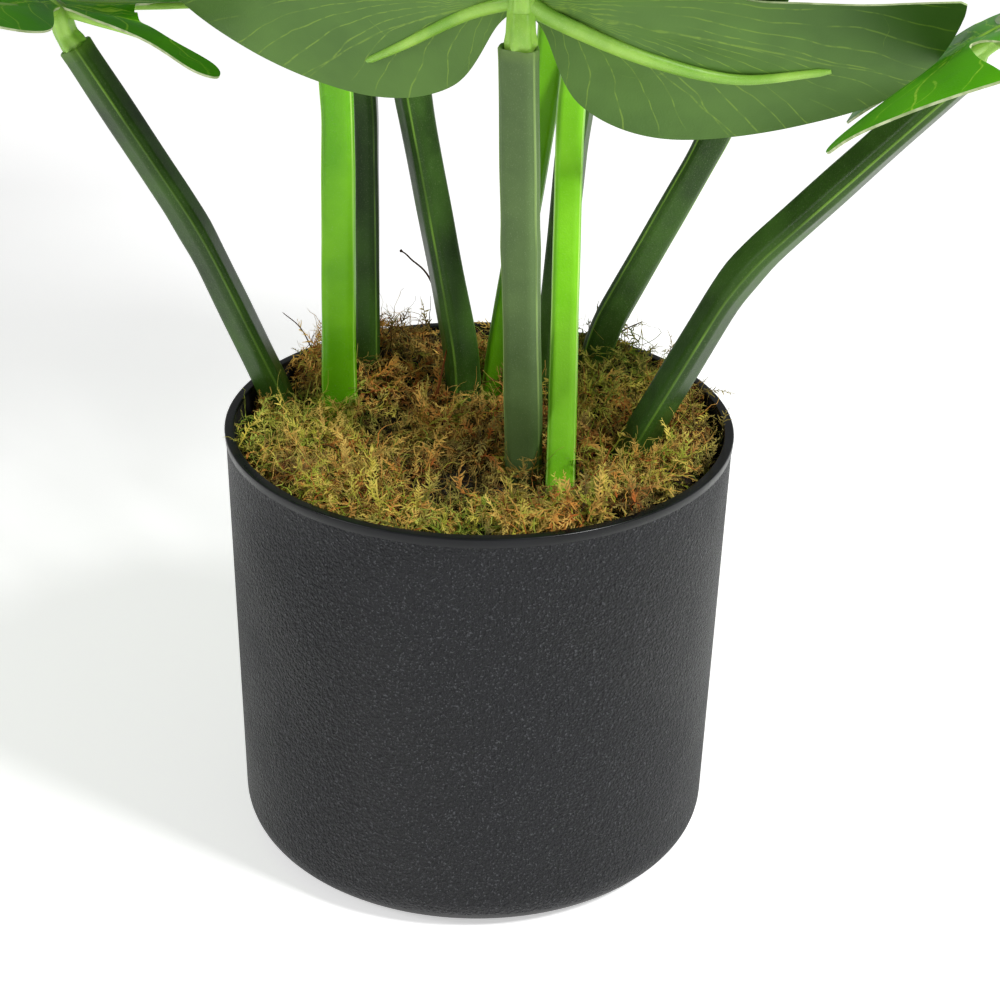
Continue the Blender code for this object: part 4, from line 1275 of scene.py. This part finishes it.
print("fast meshes take arrays of points and four-sided faces")

# %% [markdown]
# ## The shape of one sprig
# A sprig starts at its foot and grows in eight short steps, each turned a little from the last, so it curls. Its
# stem is a folded ribbon. Leaflets stand to the left and right in turn, each a bent strip of two faces, longest
# in the middle of the stem. Everything here works on all sprigs together: the first axis counts the sprigs.


# %% Sprig shapes
SPRIG_STEPS = 8
WIDEST_LEAFLET = 0.00033


def sprig_shapes(rough, feet, headings, lengths, slopes, leaflets, stem_width, leaflet_length, curl):
    """(points, quads, share along each point, sprig of each point) of many sprigs at once."""
    count, steps = len(feet), SPRIG_STEPS
    turn = np.cumsum(rough.normal(0, curl, (count, steps)), axis=1)
    turn = turn + rough.normal(0, curl * 0.6, (count, 1)) * np.arange(steps)
    rise = slopes[:, None] + np.cumsum(rough.normal(0, curl * 0.6, (count, steps)), axis=1) - np.linspace(0, 0.5, steps)
    facing = headings[:, None] + turn
    way = np.stack([np.cos(facing) * np.cos(rise), np.sin(facing) * np.cos(rise), np.sin(rise)], axis=2)
    gone = np.cumsum(way * (lengths / steps)[:, None, None], axis=1)
    line = feet[:, None] + np.concatenate([np.zeros((count, 1, 3)), gone], axis=1)
    way = np.concatenate([way, way[:, -1:]], axis=1)
    side = unit(np.cross(way, [0.0, 0.0, 1.0]))
    roll = rough.uniform(-0.7, 0.7, (count, 1, 1))
    top = np.cross(side, way)
    side, top = side * np.cos(roll) + top * np.sin(roll), top * np.cos(roll) - side * np.sin(roll)
    share = np.linspace(0, 1, steps + 1)
    # The stem: a flat ribbon of two points a step, folded to a shallow V by lifting its second row.
    thin = (stem_width * (1 - 0.7 * share))[None, :, None] * np.ones((count, 1, 1))
    rows = np.stack([line - side * thin / 2, line + top * thin * 0.5, line + side * thin / 2], axis=2)
    points = [rows.reshape(-1, 3)]
    each = (steps + 1) * 3
    base = (np.arange(count) * each)[:, None, None, None]
    at = np.arange(steps)[None, :, None, None] * 3
    strip = np.array([[0, 1, 4, 3], [1, 2, 5, 4]])[None, None]
    quads = [(base + at + strip).reshape(-1, 4)]
    along = [np.broadcast_to(share[None, :, None], (count, steps + 1, 3)).ravel()]
    owner = [np.repeat(np.arange(count), each)]
    if leaflets:
        spots = np.linspace(0.10, 0.97, leaflets)
        low = np.floor(spots * steps).astype(int)
        part = (spots * steps - low)[None, :, None]
        root = line[:, low] * (1 - part) + line[:, low + 1] * part
        front, out, lift = way[:, low], side[:, low], top[:, low]
        out = out * np.where(np.arange(leaflets) % 2, 1, -1)[None, :, None]
        fan = rough.normal(0.85, 0.28, (count, leaflets, 1))
        aim = unit(front * np.cos(fan) + out * np.sin(fan) + lift * rough.normal(0.10, 0.22, (count, leaflets, 1)))
        long = leaflet_length * lengths[:, None] * np.sin(np.pi * (0.22 + 0.72 * spots))[None]
        long = (long * rough.uniform(0.35, 1.35, (count, leaflets)))[:, :, None]
        droop = lift * rough.normal(-0.12, 0.35, (count, leaflets, 1))
        bend = droop + front * rough.normal(0.2, 0.25, (count, leaflets, 1))
        flat = unit(np.cross(aim, lift))
        wide = np.minimum(long * 0.15, WIDEST_LEAFLET)
        middle, tip = root + aim * long * 0.5, root + (aim + bend) * long
        leaf = np.stack([root - flat * wide * 0.6, root + flat * wide * 0.6, middle + flat * wide, middle - flat * wide,
                         tip + flat * wide * 0.25, tip - flat * wide * 0.25], axis=2)
        points.append(leaf.reshape(-1, 3))
        start = (count * each + np.arange(count * leaflets) * 6)[:, None, None]
        quads.append((start + np.array([[0, 1, 2, 3], [3, 2, 4, 5]])[None]).reshape(-1, 4))
        share_here = np.stack([spots, spots, spots + 0.2, spots + 0.2, spots + 0.45, spots + 0.45], axis=1)
        along.append(np.broadcast_to(share_here[None], (count, leaflets, 6)).ravel())
        owner.append(np.repeat(np.arange(count), leaflets * 6))
    return np.concatenate(points), np.concatenate(quads), np.concatenate(along), np.concatenate(owner)


print("a sprig's stem has two faces a step, each leaflet two more")

# %% [markdown]
# ## Keeping the moss clear
# Sprigs scattered by chance would pierce the pot and the stalks. Points beyond the pot's inner wall are pulled
# back to it, and points inside a stalk are pushed out of it, sideways.


# %% Clearance
def keep_in_pot(points):
    """Moves points that would pass through the pot's wall back inside it; over the lip they may hang out."""
    radius = np.hypot(points[:, 0], points[:, 1])
    limit = np.where(points[:, 2] < POT_HEIGHT + 0.0006, inner_radius(POT_HEIGHT) - 0.0008, POT_RADIUS + 0.004)
    over = np.minimum(1.0, limit / np.maximum(radius, 1e-9))
    points[:, :2] *= over[:, None]
    return points


MOSS_DEPTH = 0.135, 0.185  # the heights between which moss and stalks can meet
SPOT_SPACING, SPOT_REACH, STALK_GAP = 0.003, 0.006, 0.0006
in_moss = [(point, leaf["width"][0] / 2) for leaf in LEAVES for point in stalk_path(leaf, SPOT_SPACING)
           if MOSS_DEPTH[0] < point.z < MOSS_DEPTH[1]]
stalk_spots = np.array([tuple(point) for point, _ in in_moss])
stalk_girths = np.array([girth for _, girth in in_moss])


def keep_off_stalks(points):
    """Pushes points out of the stalks."""
    for (x, y, z), girth in zip(stalk_spots, stalk_girths):
        near = np.abs(points[:, 2] - z) < SPOT_REACH
        off = points[near, :2] - (x, y)
        distance = np.hypot(*off.T)
        push = np.maximum(1.0, (girth + STALK_GAP) / np.maximum(distance, 1e-5))
        points[near, :2] = (x, y) + off * push[:, None]
    return points


print("places where a stalk passes through the moss:", len(stalk_spots))

# %% [markdown]
# ## Clumps
# Real moss lies in clumps, each from one cushion, so neighbours share a colour, and gaps between clumps are darkened
# with painted shade.
# The clumps are scattered first. A few places with a known dryness set their colours, blended by distance.


# %% Clumps
def scatter(rough, count, reach=0.985):
    """Random spots spread evenly over the pot's mouth."""
    radius = np.sqrt(rough.uniform(0, 1, count)) * inner_radius(MOSS_EDGE_TOP) * reach
    angle = rough.uniform(0, 2 * math.pi, count)
    return radius * np.cos(angle), radius * np.sin(angle)


CLUMPS = 90
GAP_DEPTH = 0.008  # how far sprigs sink in the gaps between clumps
CLUMP_RADIUS, COLOUR_REACH, DRYNESS_SPREAD = 0.0105, 0.024, 0.17
clump_random = np.random.default_rng(31)
clump_x, clump_y = scatter(clump_random, CLUMPS)
# Colour by place: x, y, and a dryness from 0 (dark brown) over 0.3 (rust) and 0.5 (tan) to 1 (yellow-green).
MOSS_COLOURS = (
    (-0.036, 0.054, 0.08), (-0.082, 0.005, 0.74), (-0.050, -0.045, 0.42), (-0.012, -0.005, 0.26),
    (-0.010, -0.075, 0.66), (0.045, -0.060, 0.66), (0.070, -0.015, 0.36), (0.050, 0.050, 0.58),
    (0.005, 0.040, 0.34), (-0.060, 0.045, 0.72), (0.030, -0.080, 0.45),
)
weights = [np.exp(-((clump_x - x) ** 2 + (clump_y - y) ** 2) / COLOUR_REACH**2) + 1e-6 for x, y, _ in MOSS_COLOURS]
clump_dry = sum(w * dry for w, (_, _, dry) in zip(weights, MOSS_COLOURS)) / sum(weights)
clump_dry = clump_dry + clump_random.normal(0, DRYNESS_SPREAD, CLUMPS)
clump_rise = clump_random.uniform(0.001, 0.0065, CLUMPS)


print("clumps:", CLUMPS, "dryness", round(float(clump_dry.min()), 2), "to", round(float(clump_dry.max()), 2))

# %% [markdown]
# ## Laying the moss
# Five layers go down, each with its own kind of sprig: one deep in the gaps, darkened nearly to black with painted
# shade, two of feathery sprigs on top, small crumbs between them, and bare curly threads over everything. Sprigs point
# away from the middle of their clump, and near the pot's wall back towards the pot's middle.


# %% Moss layers
LONGEST_EDGE = 0.0034


def moss_layer(name, seed, count, sizes, slope, leaflets, stem_width, leaflet_length, curl, above, shade, spread=0.10):
    rough = np.random.default_rng(seed)
    x, y = scatter(rough, count)
    off = np.hypot(x[:, None] - clump_x, y[:, None] - clump_y)
    clump = off.argmin(axis=1)
    dome = np.clip(1 - (off.min(axis=1) / CLUMP_RADIUS) ** 2, -0.6, 1)
    sunk = np.minimum(dome, 0) * GAP_DEPTH
    z = moss_height(x, y) + dome * clump_rise[clump] + sunk + rough.uniform(*above, count)
    lengths = rough.uniform(*sizes, count)
    slopes = rough.normal(slope, 0.30, count)
    headings = np.arctan2(y - clump_y[clump], x - clump_x[clump]) + rough.normal(0, 1.1, count)
    # Near the wall, sprigs point back towards the middle.
    edge = np.hypot(x, y) > inner_radius(MOSS_EDGE_TOP) * 0.88
    headings[edge] = np.arctan2(-y[edge], -x[edge]) + rough.normal(0, 0.9, edge.sum())
    feet = np.stack([x, y, z], axis=1)
    points, quads, along, owner = sprig_shapes(
        rough, feet, headings, lengths, slopes, leaflets, stem_width, leaflet_length, curl
    )
    dry = np.clip(clump_dry[clump] + rough.normal(0, spread, count), 0.0, 1.0)
    # Painted shade: sprigs in the gaps between clumps are darkened, and those on a clump's top are lightened as painted
    # light.
    shades = np.clip(shade - dome * 0.80 + rough.normal(0, 0.24, count), 0, 1)
    # The tint holds dryness, the painted tip highlight and the painted shade.
    tint = np.stack([dry[owner], np.clip(along, 0, 1) ** 2, shades[owner]], axis=1)
    points = keep_in_pot(keep_off_stalks(points))
    # Faces that were stretched while they were pushed clear are taken out, with the points that only they used.
    spans = np.linalg.norm(points[quads] - points[np.roll(quads, 1, axis=1)], axis=2).max(axis=1)
    kept = quads[spans < LONGEST_EDGE]
    used, quads = np.unique(kept, return_inverse=True)
    points, tint, quads = points[used], tint[used], quads.reshape(kept.shape)
    piece = fast_mesh(name, points, quads, moss_paint, tint)
    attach(piece, "root")
    print(name, "sprigs", count, "faces", len(quads))
    return piece


# The under layer takes full painted shade, so it shows nearly black.
moss_layer("moss_under_layer", 21, 1850, (0.009, 0.018), 0.10, 18, 0.00055, 0.17, 0.28, (-0.007, -0.003), 1.00)
moss_layer("moss_top_layer", 22, 1500, (0.008, 0.020), 0.26, 24, 0.00060, 0.14, 0.42, (-0.003, 0.002), 0.66, 0.15)
moss_layer("moss_feathers", 25, 800, (0.010, 0.021), 0.30, 24, 0.00060, 0.15, 0.38, (-0.002, 0.003), 0.60, 0.15)
moss_layer("moss_crumbs", 24, 1300, (0.004, 0.009), 0.35, 12, 0.00050, 0.26, 0.34, (-0.004, 0.003), 0.66, 0.18)
moss_layer("moss_threads", 23, 3000, (0.008, 0.022), 0.26, 0, 0.00042, 0.0, 0.62, (-0.003, 0.003), 0.50, 0.28)

# %% [markdown]
# ## Twigs
# A few bare twigs came in with the moss: thin dark stems that stick out of it, one with a bud at its end. Each is
# a curve through a few given points, swept with a round section that thins towards the tip. They take the same
# material as the sprigs, with their own place on its colour ramp.

# %% Twigs
# Points of each twig in metres, its thickness, its place on the moss ramp, and how wide its bud is.
TWIGS = (
    (((-0.012, 0.046, 0.158), (-0.0180, 0.056, 0.188), (-0.0267, 0.060, 0.1975), (-0.0304, 0.062, 0.1998)),
     0.00095, 0.02, 2.2),
    (((-0.052, 0.048, 0.155), (-0.0565, 0.050, 0.180), (-0.0574, 0.050, 0.197)), 0.0008, 0.03, 1.9),
    (((-0.018, 0.020, 0.150), (-0.0150, 0.022, 0.163), (-0.0123, 0.026, 0.176)), 0.0011, 0.20, 1.0),
    (((0.040, 0.060, 0.158), (0.052, 0.056, 0.171), (0.0600, 0.055, 0.176)), 0.0007, 0.10, 1.0),
    (((0.010, -0.056, 0.157), (0.028, -0.054, 0.159), (0.040, -0.044, 0.162), (0.045, -0.036, 0.168)),
     0.0008, 0.24, 1.0),
    (((-0.060, 0.052, 0.156), (-0.066, 0.050, 0.172), (-0.073, 0.046, 0.181)), 0.0006, 0.06, 1.0),
)
TWIG_SIDES = 7
for number, (through, thickness, dryness_at, bud) in enumerate(TWIGS, 1):
    line = catmull_rom([Vector(point) for point in through], 10)
    shares = np.linspace(0, 1, len(line))
    girths = thickness / 2 * (1 - 0.45 * shares + (bud - 1) * np.exp(-(((1 - shares) / 0.06) ** 2)))
    girths[-1] *= 0.35
    circle = [(2 * math.pi * k / TWIG_SIDES, 1.0) for k in range(TWIG_SIDES)]
    points = [point for ring in swept(line, girths, lambda _: circle) for point in ring]
    # Each twig has a fixed painted shade of 0.35 and no tip highlight.
    tints = np.tile((dryness_at, 0.0, 0.35), (len(points), 1))
    faces = ring_faces(len(line), TWIG_SIDES, closed_ends=True)
    twig = mesh_object(f"moss_twig_{number}", points, faces, moss_paint, {"tint": tints}, sharp=80)
    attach(twig, "root")
print("twigs:", len(TWIGS))
